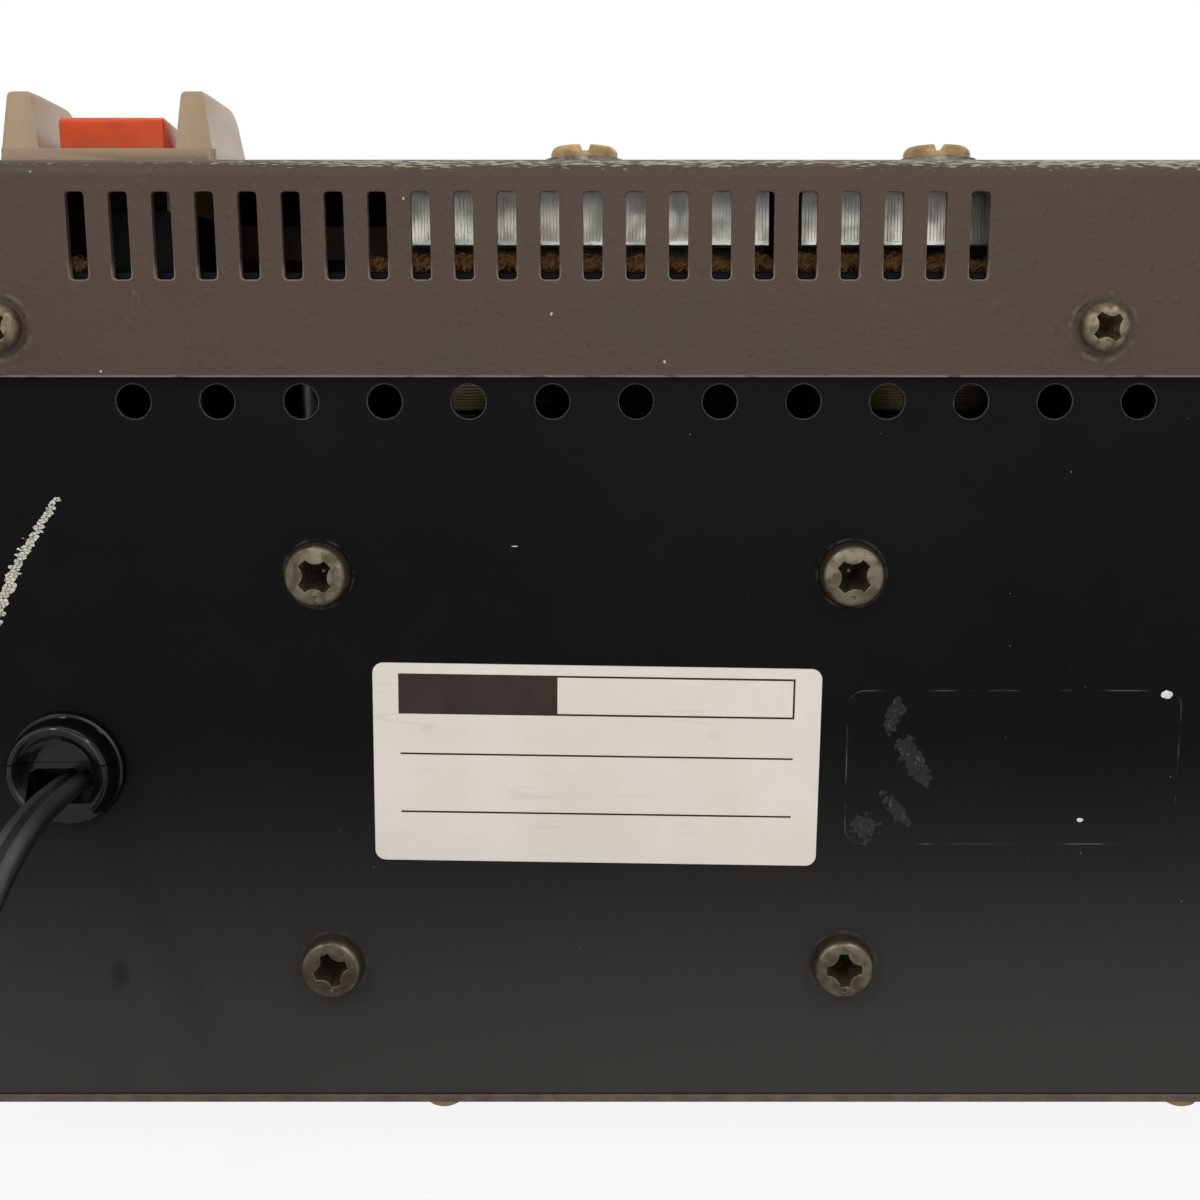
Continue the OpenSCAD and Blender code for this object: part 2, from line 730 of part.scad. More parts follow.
module mechanism_plate() {
    color([0.62, 0.63, 0.64]) difference() {
        union() {
            box_between([-mech_half, hub_y - mech_front, mech_z],
                        [mech_half, tray_y1 + mech_margin, mech_top_z]);
            box_between([motor_at[0] - motor_r - 7, hub_y, mech_z],
                        [motor_at[0] + motor_r + 7, motor_at[1] + motor_r + 3, mech_top_z]);
            box_between([-solenoid_w + 2, solenoid_y1 - solenoid_l - 4, mech_z],
                        [solenoid_w - 2, hub_y, mech_top_z]);
        }
        for (i = wells) {
            for (x = [supply_x(i), takeup_x(i)])
                rod_z([x, hub_y, mech_z - over], bush_r + fit_gap, mech_t + 2 * over);
            rod_z([well_x(i) + capstan_x, hub_y - capstan_y, mech_z - over], bush_r + fit_gap,
                  mech_t + 2 * over);
        }
    }
}

module support_posts() {
    color([0.7, 0.7, 0.7]) {
        for (x = post_x, y = post_y) rod_z([x, y, floor_z], post_r, mech_z - floor_z);
        for (x = board_post_x, y = board_post_y)
            rod_z([x, y, floor_z], pillar_r, board_z - floor_z);
        for (turn = [90, 210, 330])
            rod_z([motor_at[0] + pillar_ring * cos(turn), motor_at[1] + pillar_ring * sin(turn),
                   motor_top_z], pillar_r, mech_z - motor_top_z);
        for (x = [-1, 1], z = [-1, 1]) difference() {
            rod_y([transformer_x + x * bolt_pitch_x / 2, core_y, transformer_z + z * bolt_pitch_z / 2],
                  bolt_shank / 2 + spacer_wall, spacer_l);
            rod_y([transformer_x + x * bolt_pitch_x / 2, core_y - over,
                   transformer_z + z * bolt_pitch_z / 2],
                  bolt_shank / 2 + fit_gap, spacer_l + 2 * over);
        }
    }
}

module bush(at, bore_r) {
    difference() {
        rod_z(at, bush_r, bush_h);
        rod_z([at[0], at[1], at[2] - over], bore_r, bush_h + 2 * over);
    }
}

module bearing_bushes() {
    color([0.72, 0.52, 0.28]) for (i = wells) {
        bush([supply_x(i), hub_y, bush_z], spindle_shaft_r + fit_gap);
        bush([takeup_x(i), hub_y, bush_z], spindle_shaft_r + fit_gap);
        bush([well_x(i) + capstan_x, hub_y - capstan_y, bush_z], capstan_dia / 2 + fit_gap);
    }
}

module capstan_motor() {
    color([0.55, 0.55, 0.56]) difference() {
        union() {
            rod_z([motor_at[0], motor_at[1], motor_top_z - motor_h], motor_r, motor_h);
            rod_z([motor_at[0], motor_at[1], motor_top_z], motor_boss_r, motor_boss_h);
        }
        rod_z([motor_at[0], motor_at[1], motor_top_z - rotor_l - 2], motor_shaft_r + fit_gap,
              rotor_l + motor_boss_h + over + 2);
    }
}

module motor_pulley() {
    color([0.8, 0.8, 0.82]) union() {
        rod_z([motor_at[0], motor_at[1], motor_top_z - rotor_l], motor_shaft_r,
              rotor_l + belt_high_z + belt_w + pulley_rim - motor_top_z);
        rod_z([motor_at[0], motor_at[1], belt_high_z - pulley_rim], motor_pulley_dia / 2,
              belt_w + 2 * pulley_rim);
    }
}

// Outline of a belt round two pulleys whose outer radii are r0 and r1
function belt_outline(p0, r0, p1, r1) =
    let (gap = p1 - p0, span = norm(gap), lean = asin((r0 - r1) / span),
         heading = atan2(gap[1], gap[0]), steps = 20)
    concat(
        [for (i = [0:steps])
            let (a = heading + 90 - lean + i * (180 + 2 * lean) / steps)
            p0 + r0 * [cos(a), sin(a)]],
        [for (i = [0:steps])
            let (a = heading - 90 + lean + i * (180 - 2 * lean) / steps)
            p1 + r1 * [cos(a), sin(a)]]
    );

module belt(p0, r0, p1, r1, z) {
    translate([0, 0, z]) linear_extrude(belt_w) difference() {
        polygon(belt_outline(p0, r0 + belt_gap + belt_t, p1, r1 + belt_gap + belt_t));
        polygon(belt_outline(p0, r0 + belt_gap, p1, r1 + belt_gap));
    }
}

module drive_belts() {
    shaft = [for (i = wells) [well_x(i) + capstan_x, hub_y - capstan_y]];
    r = fly_pulley_dia / 2;
    color([0.1, 0.1, 0.1]) {
        belt(shaft[0], r, shaft[1], r, belt_low_z);
        belt(shaft[1], r, shaft[2], r, belt_high_z);
        belt(shaft[2], r, shaft[3], r, belt_low_z);
        belt(shaft[0], r, motor_at, motor_pulley_dia / 2, belt_high_z);
    }
}

module flywheel(i) {
    color([0.66, 0.63, 0.55]) translate([well_x(i) + capstan_x, hub_y - capstan_y, 0])
        rotate_extrude() polygon([
            [0, pulley_z], [fly_pulley_dia / 2, pulley_z], [fly_pulley_dia / 2, flywheel_z],
            [flywheel_dia / 2 - 1, flywheel_z], [flywheel_dia / 2, flywheel_z + 1],
            [flywheel_dia / 2, flywheel_top_z - 1], [flywheel_dia / 2 - 1, flywheel_top_z],
            [flywheel_dia / 2 - 8, flywheel_top_z], [flywheel_dia / 2 - 9, flywheel_top_z - 2],
            [8, flywheel_top_z - 2], [7, flywheel_top_z], [capstan_dia / 2 + 2, flywheel_top_z],
            [capstan_dia / 2, flywheel_top_z + 2], [capstan_dia / 2, shaft_top_z - 0.4],
            [capstan_dia / 2 - 0.4, shaft_top_z], [0, shaft_top_z]
        ]);
}

module spindle(x) {
    hub_r = spindle_hub_dia / 2;
    color([0.92, 0.92, 0.9]) translate([x, hub_y, 0]) {
        rotate_extrude() polygon([
            [0, bush_z - 3], [spindle_shaft_r + 1, bush_z - 3], [spindle_shaft_r + 1, bush_z - 0.5],
            [spindle_shaft_r, bush_z - 0.5], [spindle_shaft_r, reel_z], [reel_dia / 2 - 0.5, reel_z],
            [reel_dia / 2, reel_z + 0.5], [reel_dia / 2, reel_z + reel_t - 0.5],
            [reel_dia / 2 - 0.5, reel_z + reel_t], [hub_r + 1, reel_z + reel_t],
            [hub_r + 1, tray_floor_z + 1], [hub_r, tray_floor_z + 1.6],
            [hub_r, shaft_top_z - 2.4], [hub_r - 2, shaft_top_z], [0, shaft_top_z]
        ]);
        for (turn = [0, 120, 240]) rotate(turn)
            box_between([0, -0.7, tray_floor_z + 1.2], [spindle_wing_dia / 2, 0.7, shaft_top_z - 3]);
    }
}

module engage_bar() {
    color([0.7, 0.71, 0.72]) {
        box_between([well_x(0) - head_plate_half, bar_y, bar_z],
                    [well_x(3) + head_plate_half, bar_y + bar_w, bar_z + bar_t]);
        box_between([-6, bar_y, bar_z + bar_t], [6, bar_y + 2, plunger_z + 5]);
        rod_y([0, bar_y - plunger_l, plunger_z], plunger_r, plunger_l + 1);
    }
}

module head_plates() {
    color([0.74, 0.72, 0.6]) for (i = wells) {
        box_between([well_x(i) - head_plate_half, head_plate_y0, plate_z],
                    [well_x(i) + head_plate_half, head_plate_y1, bar_z]);
        box_between([well_x(i) - head_size[0] / 2, head_face_y - head_size[1], bar_z],
                    [well_x(i) + head_size[0] / 2, head_face_y - 2, head_z]);
        box_between([well_x(i) + capstan_x - bracket_half, roller_y - bracket_front, bar_z],
                    [well_x(i) + capstan_x + bracket_half, roller_y + bracket_rear,
                     roller_z - roller_gap]);
        rod_z([well_x(i) + capstan_x, roller_y, roller_z - roller_gap], roller_pin_r,
              roller_h + 1.5 + roller_gap);
    }
}

module tape_heads() {
    color([0.8, 0.8, 0.82]) {
        for (i = wells) intersection() {
            box_between([well_x(i) - head_size[0] / 2, head_face_y - head_size[1], head_z],
                        [well_x(i) + head_size[0] / 2, head_face_y, head_z + head_size[2]]);
            rod_z([well_x(i), head_face_y - head_nose_r, head_z - over], head_nose_r,
                  head_size[2] + 2 * over);
        }
        for (i = [1, 2, 3])
            box_between([well_x(i) - erase_x[1], head_face_y - 9, bar_z],
                        [well_x(i) - erase_x[0], head_face_y - 1, head_z + head_size[2] - 0.5]);
    }
}

module pinch_roller(i) {
    color([0.06, 0.06, 0.06]) difference() {
        rod_z([well_x(i) + capstan_x, roller_y, roller_z], roller_dia / 2, roller_h);
        rod_z([well_x(i) + capstan_x, roller_y, roller_z - over],
              roller_pin_r + fit_gap, roller_h + 2 * over);
    }
}

module engage_solenoid() {
    color([0.45, 0.33, 0.2]) difference() {
        box_between([-solenoid_w / 2, solenoid_y1 - solenoid_l, mech_top_z],
                    [solenoid_w / 2, solenoid_y1, plunger_z + 8]);
        rod_y([0, solenoid_y1 - solenoid_l - over, plunger_z], plunger_r + 2 * fit_gap,
              solenoid_l + 2 * over);
    }
}

module control_board() {
    color([0.26, 0.17, 0.08]) difference() {
        union() {
            box_between([ctrl_x[0], ctrl_y[0], ctrl_board_z],
                        [ctrl_x[1], ctrl_y[1], ctrl_board_z + ctrl_board_t]);
            for (x = key_x)
                box_between([x - 6, strip_y - 6, ctrl_board_z + ctrl_board_t],
                            [x + 6, strip_y + 6, top_z - key_flange_t - key_travel - 0.6]);
            for (x = dial_x) {
                rod_z([x, strip_y, ctrl_board_z + ctrl_board_t], pot_r, pot_h);
                rod_z([x, strip_y, ctrl_board_z + ctrl_board_t], 4.4, top_z - ctrl_board_z);
            }
        }
        for (x = dial_x)
            rod_z([x, strip_y, deck_z + dial_lift - dial_bore_l - 3], dial_shaft_r + fit_gap, 30);
    }
}

module key(x) {
    color([0.8, 0.76, 0.68]) {
        difference() {
            round_plate([x - key_w / 2, strip_y - key_l / 2], [x + key_w / 2, strip_y + key_l / 2],
                        top_z - 0.3, deck_z + key_rise, 1.2);
            translate([0, strip_y, deck_z + key_rise + 58.8]) rod_x([x - key_w, 0, 0], 60, 2 * key_w);
        }
        round_plate([x - key_w / 2 - key_flange, strip_y - key_l / 2 - key_flange],
                    [x + key_w / 2 + key_flange, strip_y + key_l / 2 + key_flange],
                    top_z - 0.3 - key_flange_t, top_z - 0.3, 1.2);
    }
}

module level_dial(x) {
    z0 = deck_z + dial_lift;
    color([0.12, 0.11, 0.11]) difference() {
        translate([x, strip_y, 0]) rotate_extrude() polygon([
            [0, z0 - dial_bore_l], [dial_shaft_r, z0 - dial_bore_l], [dial_shaft_r, z0],
            [dial_dia / 2, z0], [dial_dia / 2, z0 + 2], [dial_dia / 2 - 3.5, z0 + 3.5],
            [dial_dia / 2 - 4.2, z0 + dial_h - 1], [dial_dia / 2 - 5.2, z0 + dial_h],
            [0, z0 + dial_h]
        ]);
        box_between([x - 0.6, strip_y + 3, z0 + dial_h - 0.6],
                    [x + 0.6, strip_y + dial_dia, z0 + dial_h + over]);
    }
}

module indicator_lamps() {
    color([0.85, 0.25, 0.1]) for (x = lamp_x) {
        rod_z([x, lamp_y, top_z - lamp_body], lamp_dia / 2, lamp_body + deck_t);
        translate([x, lamp_y, deck_z]) rotate_extrude() polygon(concat(
            [[0, 0]], [for (a = [0:15:90]) [lamp_dia / 2 * cos(a), lamp_dia / 2 * sin(a)]]
        ));
    }
}

module transformer_core() {
    color([0.35, 0.33, 0.32]) difference() {
        box_between([transformer_x - core_w / 2, core_y - stack_t, transformer_z - core_h / 2],
                    [transformer_x + core_w / 2, core_y, transformer_z + core_h / 2]);
        for (x = [-1, 1])
            translate([transformer_x + x * 1.5 * limb_w, 0, transformer_z])
                box_between([-limb_w / 2, core_y - stack_t - over, -1.5 * limb_w],
                            [limb_w / 2, core_y + over, 1.5 * limb_w]);
        for (x = [-1, 1], z = [-1, 1])
            rod_y([transformer_x + x * bolt_pitch_x / 2, core_y - stack_t - over,
                   transformer_z + z * bolt_pitch_z / 2],
                  bolt_shank / 2 + fit_gap, stack_t + 2 * over);
    }
}

module transformer_winding() {
    half_x = 2 * limb_w - winding_fit;
    half_z = 1.5 * limb_w - winding_fit;
    color([0.68, 0.36, 0.14]) difference() {
        box_between([transformer_x - half_x, core_y - stack_t - winding_out, transformer_z - half_z],
                    [transformer_x + half_x, core_y + winding_out, transformer_z + half_z]);
        box_between([transformer_x - limb_w - winding_fit, core_y - stack_t - winding_fit,
                     transformer_z - half_z - over],
                    [transformer_x + limb_w + winding_fit, core_y + winding_fit,
                     transformer_z + half_z + over]);
    }
}

module circuit_board() {
    color([0.26, 0.17, 0.08])
        box_between([board_x[0], board_y[0], board_z], [board_x[1], board_y[1], board_z + board_t]);
}

module heat_sinks() {
    color([0.78, 0.79, 0.8]) for (x = sink_x) difference() {
        union() {
            box_between([x, sink_y - sink_t, sink_top_z - sink_h], [x + sink_w, sink_y, sink_top_z]);
            box_between([x, sink_y - sink_t, board_z + board_t],
                        [x + sink_w, sink_y - sink_t + sink_web, sink_top_z]);
        }
        for (i = [0:sink_w / fin_pitch - 1])
            box_between([x + (i + 0.5) * fin_pitch, sink_y - fin_depth, sink_top_z - sink_h - over],
                        [x + (i + 0.5) * fin_pitch + fin_pitch / 2, sink_y + over, sink_top_z - 1.2]);
    }
}

module power_transistors() {
    y0 = sink_y - sink_t + sink_web;
    color([0.1, 0.1, 0.1]) for (x = sink_x, i = [0, 1])
        translate([x + sink_w * (0.27 + 0.46 * i), y0, board_z + board_t]) {
            box_between([-5, 0, 2], [5, 4.4, 11]);
            for (leg = [-2.5, 0, 2.5]) box_between([leg - 0.4, 1.6, 0], [leg + 0.4, 2.2, 2]);
        }
}

module filter_capacitors() {
    color([0.12, 0.14, 0.3]) for (x = [0, 1, 2])
        rod_z([board_x[0] + capacitor_at[0] + capacitor_pitch * x, board_y[0] + capacitor_at[1],
               board_z + board_t], capacitor_r, capacitor_h);
}

module rubber_foot(x, y) {
    difference() {
        translate([x, y, 0]) rotate_extrude() polygon([
            [0, 0], [foot_dia / 2 - 2.5, 0], [foot_dia / 2 - 1.5, 1], [foot_dia / 2, foot_h],
            [0, foot_h]
        ]);
        rod_z([x, y, -over], foot_pocket_dia / 2, foot_pocket_h + over);
        rod_z([x, y, 0], 2 + fit_gap, foot_h + over);
    }
}

module rubber_feet() {
    color([0.08, 0.08, 0.08])
        for (x = [-1, 1], y = [front_y + foot_inset, rear_y - foot_inset])
            rubber_foot(x * (right_x - foot_inset), y);
}

module cover_screws() {
    color([0.42, 0.38, 0.34]) {
        for (x = cover_screw_x)
            translate([x, rear_y, cover_screw_z]) rotate([-90, 0, 0])
                cross_screw(cover_head_dia / 2, cover_head_h, cover_shank / 2, screw_l);
        for (side = [-1, 1], y = side_screw_y)
            translate([side * case_w / 2, y, side_screw_z]) rotate([0, side * 90, 0])
                cross_screw(cover_head_dia / 2, cover_head_h, cover_shank / 2, screw_l);
    }
}

module bottom_screws() {
    color([0.75, 0.62, 0.3]) {
        for (x = bottom_screw_x)
            translate([x, rear_y - bottom_screw_inset, base_z]) rotate([180, 0, 0])
                cross_screw(bottom_head_dia / 2, bottom_head_h, bottom_shank / 2, screw_l);
        for (x = [-1, 1], y = [front_y + foot_inset, rear_y - foot_inset])
            translate([x * (right_x - foot_inset), y, foot_pocket_h]) rotate([180, 0, 0])
                cross_screw(4, 2.4, 2, foot_h - foot_pocket_h + plate_t + 3);
    }
}

module transformer_bolts() {
    color([0.3, 0.28, 0.2]) for (x = [-1, 1], z = [-1, 1])
        translate([transformer_x + x * bolt_pitch_x / 2, panel_y, transformer_z + z * bolt_pitch_z / 2])
            rotate([-90, 0, 0]) cross_screw(bolt_head_dia / 2, bolt_head_h, bolt_shank / 2,
                                            panel_t + spacer_l + stack_t + 4);
}

module transit_washers() {
    color([0.5, 0.5, 0.48]) for (x = transit_x) difference() {
        rod_z([x, transit_y, top_z], transit_washer_dia / 2, transit_washer_t);
        rod_z([x, transit_y, top_z - over], transit_shank / 2 + fit_gap, transit_washer_t + 2 * over);
    }
}

module transit_screws() {
    r = transit_head_dia / 2;
    z0 = top_z + transit_washer_t;
    color([0.8, 0.62, 0.25]) for (x = transit_x) difference() {
        translate([x, transit_y, z0]) rotate_extrude() polygon([
            [0, -transit_l], [transit_shank / 2, -transit_l], [transit_shank / 2, 0], [r, 0],
            [r, transit_head_h * 0.55], [r * 0.86, transit_head_h * 0.85],
            [r * 0.6, transit_head_h], [0, transit_head_h]
        ]);
        box_between([x - 0.6, transit_y - transit_head_dia, z0 + transit_head_h * 0.5],
                    [x + 0.6, transit_y + transit_head_dia, z0 + transit_head_h + over]);
    }
}

// One tapered fin of the switch guard, rounded at both ends of its top
module guard_fin(x) {
    y0 = switch_y - guard_l / 2;
    y1 = switch_y + guard_l / 2;
    z1 = top_z + guard_fin_h;
    foot = guard_fin_foot / 2;
    top = guard_fin_top / 2;
    intersection() {
        along_y(y0, y1) polygon([
            [x - foot, top_z], [x + foot, top_z], [x + top + 0.1, z1 - 0.6], [x + top - 0.1, z1 - 0.2],
            [x + top - 0.6, z1], [x - top + 0.6, z1], [x - top + 0.1, z1 - 0.2],
            [x - top - 0.1, z1 - 0.6]
        ]);
        along_x(x - foot, x + foot) polygon(concat(
            [[y0, top_z], [y1, top_z], [y1 - 0.8, z1 - 0.8], [y1 - 1.2, z1 - 0.2], [y1 - 1.9, z1]],
            [for (a = [0:15:90])
                [y0 + guard_l * (0.31 - 0.2 * sin(a)), top_z + guard_fin_h * (0.68 + 0.26 * cos(a))]],
            [[y0 + guard_l * 0.08, top_z + guard_fin_h * 0.36]]
        ));
    }
}

module switch_guard() {
    base_x = guard_fin_x + guard_fin_foot / 2;
    slot_x = rocker_w / 2 + rocker_gap;
    color([0.66, 0.58, 0.5]) difference() {
        union() {
            round_plate([switch_x - base_x, switch_y - guard_l / 2],
                        [switch_x + base_x, switch_y + guard_l / 2], top_z, top_z + guard_base_h, 1);
            for (side = [-1, 1]) guard_fin(switch_x + side * guard_fin_x);
            box_between([switch_x - skirt_w / 2, switch_y - skirt_l / 2, top_z - skirt_h],
                        [switch_x + skirt_w / 2, switch_y + skirt_l / 2, top_z]);
        }
        box_between([switch_x - slot_x, switch_y - opening_half, top_z],
                    [switch_x + slot_x, switch_y + opening_half, top_z + guard_base_h + over]);
        box_between([switch_x - slot_x, switch_y - guard_l, top_z - skirt_h - over],
                    [switch_x + slot_x, switch_y + guard_l, top_z]);
        rod_x([switch_x - skirt_w / 2 - 1, switch_y, pin_z], pin_r + fit_gap, skirt_w + 2);
    }
}

module switch_body() {
    color([0.06, 0.06, 0.06]) difference() {
        box_between([switch_x - skirt_w / 2, switch_y - skirt_l / 2, top_z - skirt_h - switch_body_h],
                    [switch_x + skirt_w / 2, switch_y + skirt_l / 2, top_z - skirt_h]);
        rod_x([switch_x - rocker_w / 2 - rocker_gap, switch_y, pin_z],
              norm([rocker_l / 2, rocker_sole]) + rocker_gap, rocker_w + 2 * rocker_gap);
    }
}

module power_rocker() {
    high = rocker_rise + top_z - pin_z;
    low = high - rocker_l * tan(rocker_tilt);
    half = rocker_l / 2;
    color([0.85, 0.3, 0.1]) translate([switch_x, switch_y, pin_z]) {
        along_x(-rocker_w / 2, rocker_w / 2) polygon([
            [-half + 1, -rocker_sole], [half - 1, -rocker_sole], [half, 1 - rocker_sole],
            [half, high - rocker_edge], [half - rocker_edge, high],
            [-half + rocker_edge, low + rocker_edge * tan(rocker_tilt)], [-half, low - rocker_edge],
            [-half, 1 - rocker_sole]
        ]);
        rod_x([-skirt_w / 2 + pin_end_gap, 0, 0], pin_r, skirt_w - 2 * pin_end_gap);
    }
}

module rating_plate() {
    color([0.85, 0.84, 0.82])
        translate([label_x, panel_y, top_z - label_drop - label_h / 2]) rotate([0, label_tilt, 0])
            along_y(0, label_t)
                round_rect([-label_w / 2, -label_h / 2], [label_w / 2, label_h / 2], 1.6);
}

module cord_bushing() {
    r = bushing_dia / 2;
    neck = r - neck_gap - fit_gap;
    color([0.04, 0.04, 0.04]) difference() {
        translate([bushing_x, panel_y, bushing_z]) rotate([-90, 0, 0]) rotate_extrude() polygon(concat(
            [[0, -12], [neck - 0.6, -12], [neck, -10], [neck, 0], [r, 0]],
            [for (a = [0:15:90]) [r - bushing_out * 0.8 * (1 - cos(a)), bushing_out * sin(a)]],
            [[0, bushing_out]]
        ));
        intersection() {
            rod_y([bushing_x, panel_y + bushing_out - mouth_depth, bushing_z - 0.4], r - 2.6,
                  mouth_depth + over);
            box_between([bushing_x - r, panel_y - mouth_depth, bushing_z - r],
                        [bushing_x + r, panel_y + bushing_flange, bushing_z + 0.6]);
        }
        along_y(panel_y + bushing_flange, panel_y + bushing_out + over)
            round_top([bushing_x - mouth_half, bushing_z - r - over],
                      [bushing_x + mouth_half, bushing_z + 0.6], mouth_r);
    }
}

// A tube swept along rings: each ring has a centre, a direction across and one upwards
function ring(centre, across, up, w, h, sides) = [
    for (k = [0:sides - 1])
        centre + across * (w / 2 * cos(360 * k / sides)) + up * (h / 2 * sin(360 * k / sides))
];

module swept_tube(centres, across, up, w, h, sides) {
    count = len(centres);
    points = [for (i = [0:count - 1]) each ring(centres[i], across[i], up[i], w, h, sides)];
    faces = concat(
        [for (k = [1:sides - 2]) [0, k, k + 1]],
        [for (k = [1:sides - 2]) [(count - 1) * sides, (count - 1) * sides + k + 1,
                                  (count - 1) * sides + k]],
        [for (i = [0:count - 2], k = [0:sides - 1])
            let (a = i * sides + k, b = i * sides + (k + 1) % sides)
            each [[a, a + sides, b], [b, a + sides, b + sides]]]
    );
    polyhedron(points, faces, convexity = 10);
}

function unit(v) = v / norm(v);

module power_cord() {
    last = len(cord_route) - 1;
    run = [for (i = [0:last])
        i == 0 || i == last ? [0, 1, 0] : unit(cord_route[i + 1] - cord_route[i - 1])];
    across = [for (d = run) unit([1, 0, 0] - d * d[0])];
    up = [for (i = [0:last]) cross(across[i], run[i])];
    color([0.06, 0.06, 0.06])
        swept_tube(cord_route, across, up, cord_w, cord_t, cord_sides);
}

// The coil's radius and height after a number of turns
function coil_wave(t) =
    let (lap = t / coil_turns_a_layer, layer = floor(lap), part = lap - layer)
    lap >= coil_layers ? coil_layers * coil_turns_a_layer - t
        : (layer % 2 == 0 ? part : 1 - part) * coil_turns_a_layer;
function ease(u) = let (v = max(0, min(1, u))) v * v * (3 - 2 * v);
function coil_climb(t, k) =
    k >= coil_layers ? 0 : ease((t - k * coil_turns_a_layer) * 2 + 0.5) + coil_climb(t, k + 1);
function coil_radius(t) = coil_r - (cord_w + coil_turn_gap) * coil_wave(t);
function coil_point(t) = [
    coil_at[0] + coil_radius(t) * cos(360 * t),
    coil_at[1] + coil_radius(t) * sin(360 * t),
    coil_z + (cord_t + coil_layer_gap) * coil_climb(t, 1)
];

coil_end = coil_point(coil_turns);
coil_path = [for (i = [0:coil_rings * coil_turns]) coil_point(i / coil_rings)];
coil_across = [for (i = [0:coil_rings * coil_turns])
    [cos(360 * i / coil_rings), sin(360 * i / coil_rings), 0]];
tail_path = [for (i = [1:tail_rings])
    let (u = i / tail_rings, sink = ease(u * 1.15 - 0.03))
    [coil_end[0] - tail_l * u, coil_end[1], coil_end[2] + (plug_z - coil_end[2]) * sink]];

module power_cord_coil() {
    path = concat(coil_path, tail_path);
    across = concat(coil_across, [for (i = [1:tail_rings]) [0, 1, 0]]);
    up = [for (i = [0:len(path) - 1]) [0, 0, 1]];
    color([0.06, 0.06, 0.06]) swept_tube(path, across, up, cord_w, cord_t, coil_sides);
}

module power_plug() {
    x1 = coil_end[0] - tail_l;
    y = coil_end[1];
    color([0.05, 0.05, 0.05]) difference() {
        union() {
            round_plate([x1 - plug_l, y - plug_w / 2], [x1 - plug_l * 0.35, y + plug_w / 2],
                        0, plug_t, 2.5);
            plug_collar(x1 - plug_l * 0.4, x1, y, plug_w * 0.36, plug_t * 0.42);
        }
        for (side = [-1, 1])
            box_between([x1 - plug_l - over, y + side * blade_y - blade_t / 2 - fit_gap,
                         plug_z - blade_h / 2 - fit_gap],
                        [x1 - plug_l + blade_root, y + side * blade_y + blade_t / 2 + fit_gap,
                         plug_z + blade_h / 2 + fit_gap]);
    }
}

// The narrow collar of the plug, which the lead goes into
module plug_collar(x0, x1, y, half_w, half_h) {
    along_x(x0, x1) round_rect([y - half_w, plug_z - half_h], [y + half_w, plug_z + half_h], 2);
}

module plug_blades() {
    x1 = coil_end[0] - tail_l - plug_l + blade_root;
    color([0.75, 0.7, 0.55]) for (side = [-1, 1])
        box_between([x1 - blade_root - blade_l, coil_end[1] + side * blade_y - blade_t / 2,
                     plug_z - blade_h / 2],
                    [x1, coil_end[1] + side * blade_y + blade_t / 2, plug_z + blade_h / 2]);
}

// Least gap of the coil to itself, taken on ring centres more than half a turn apart and
// reduced by the lead's own section in that direction
function coil_gap(a, b) =
    let (d = a - b, side = norm([d[0], d[1]]), stretch = norm([side / cord_w, d[2] / cord_t]))
    norm(d) * (1 - 1 / stretch);
coil_gaps = [for (i = [0:len(coil_path) - 1]) for (j = [i + coil_rings / 2:1:len(coil_path) - 1])
    if (norm(coil_path[i] - coil_path[j]) < 3 * cord_w) coil_gap(coil_path[i], coil_path[j])];
function total(v) = v * [for (x = v) 1];
function run_length(p) = total([for (i = [1:len(p) - 1]) norm(p[i] - p[i - 1])]);
echo(coil_least_gap = min(coil_gaps), free_length = run_length(cord_route),
     coil_length = run_length(concat(coil_path, tail_path)));

top_cover();
rear_panel();
bottom_plate();
front_panel();
deck_panel();
cassette_trays();
mechanism_plate();
support_posts();
bearing_bushes();
capstan_motor();
drive_belts();
engage_solenoid();
control_board();
indicator_lamps();
transformer_core();
transformer_winding();
circuit_board();
heat_sinks();
power_transistors();
filter_capacitors();
rubber_feet();
cover_screws();
bottom_screws();
transformer_bolts();
transit_screws();
transit_washers();
switch_guard();
switch_body();
rating_plate();
cord_bushing();
power_cord();
power_cord_coil();
power_plug();
plug_blades();
power_rocker();
motor_pulley();
for (i = wells) {
    spindle(supply_x(i));
    spindle(takeup_x(i));
    flywheel(i);
    pinch_roller(i);
}
engage_bar();
head_plates();
tape_heads();
key(key_x[2]);  // start_key
key(key_x[1]);  // stop_key
key(key_x[0]);  // rewind_key
level_dial(dial_x[0]);  // left_level_dial
level_dial(dial_x[1]);  // right_level_dial
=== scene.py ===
"""Cassette duplicator: the finishes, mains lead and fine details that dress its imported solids.

Everything is in metres in the model's own frame: the origin at the middle of the base, +Z up,
the rear towards +Y and the right side, as the user sees it, towards +X.
"""

import functools
import logging
import random
from collections.abc import Callable, Iterable, Sequence
from dataclasses import dataclass
from enum import Enum
from math import copysign, cos, exp, pi, radians, sin, sqrt, tau

import bmesh
import bpy
from mathutils import Matrix, Vector


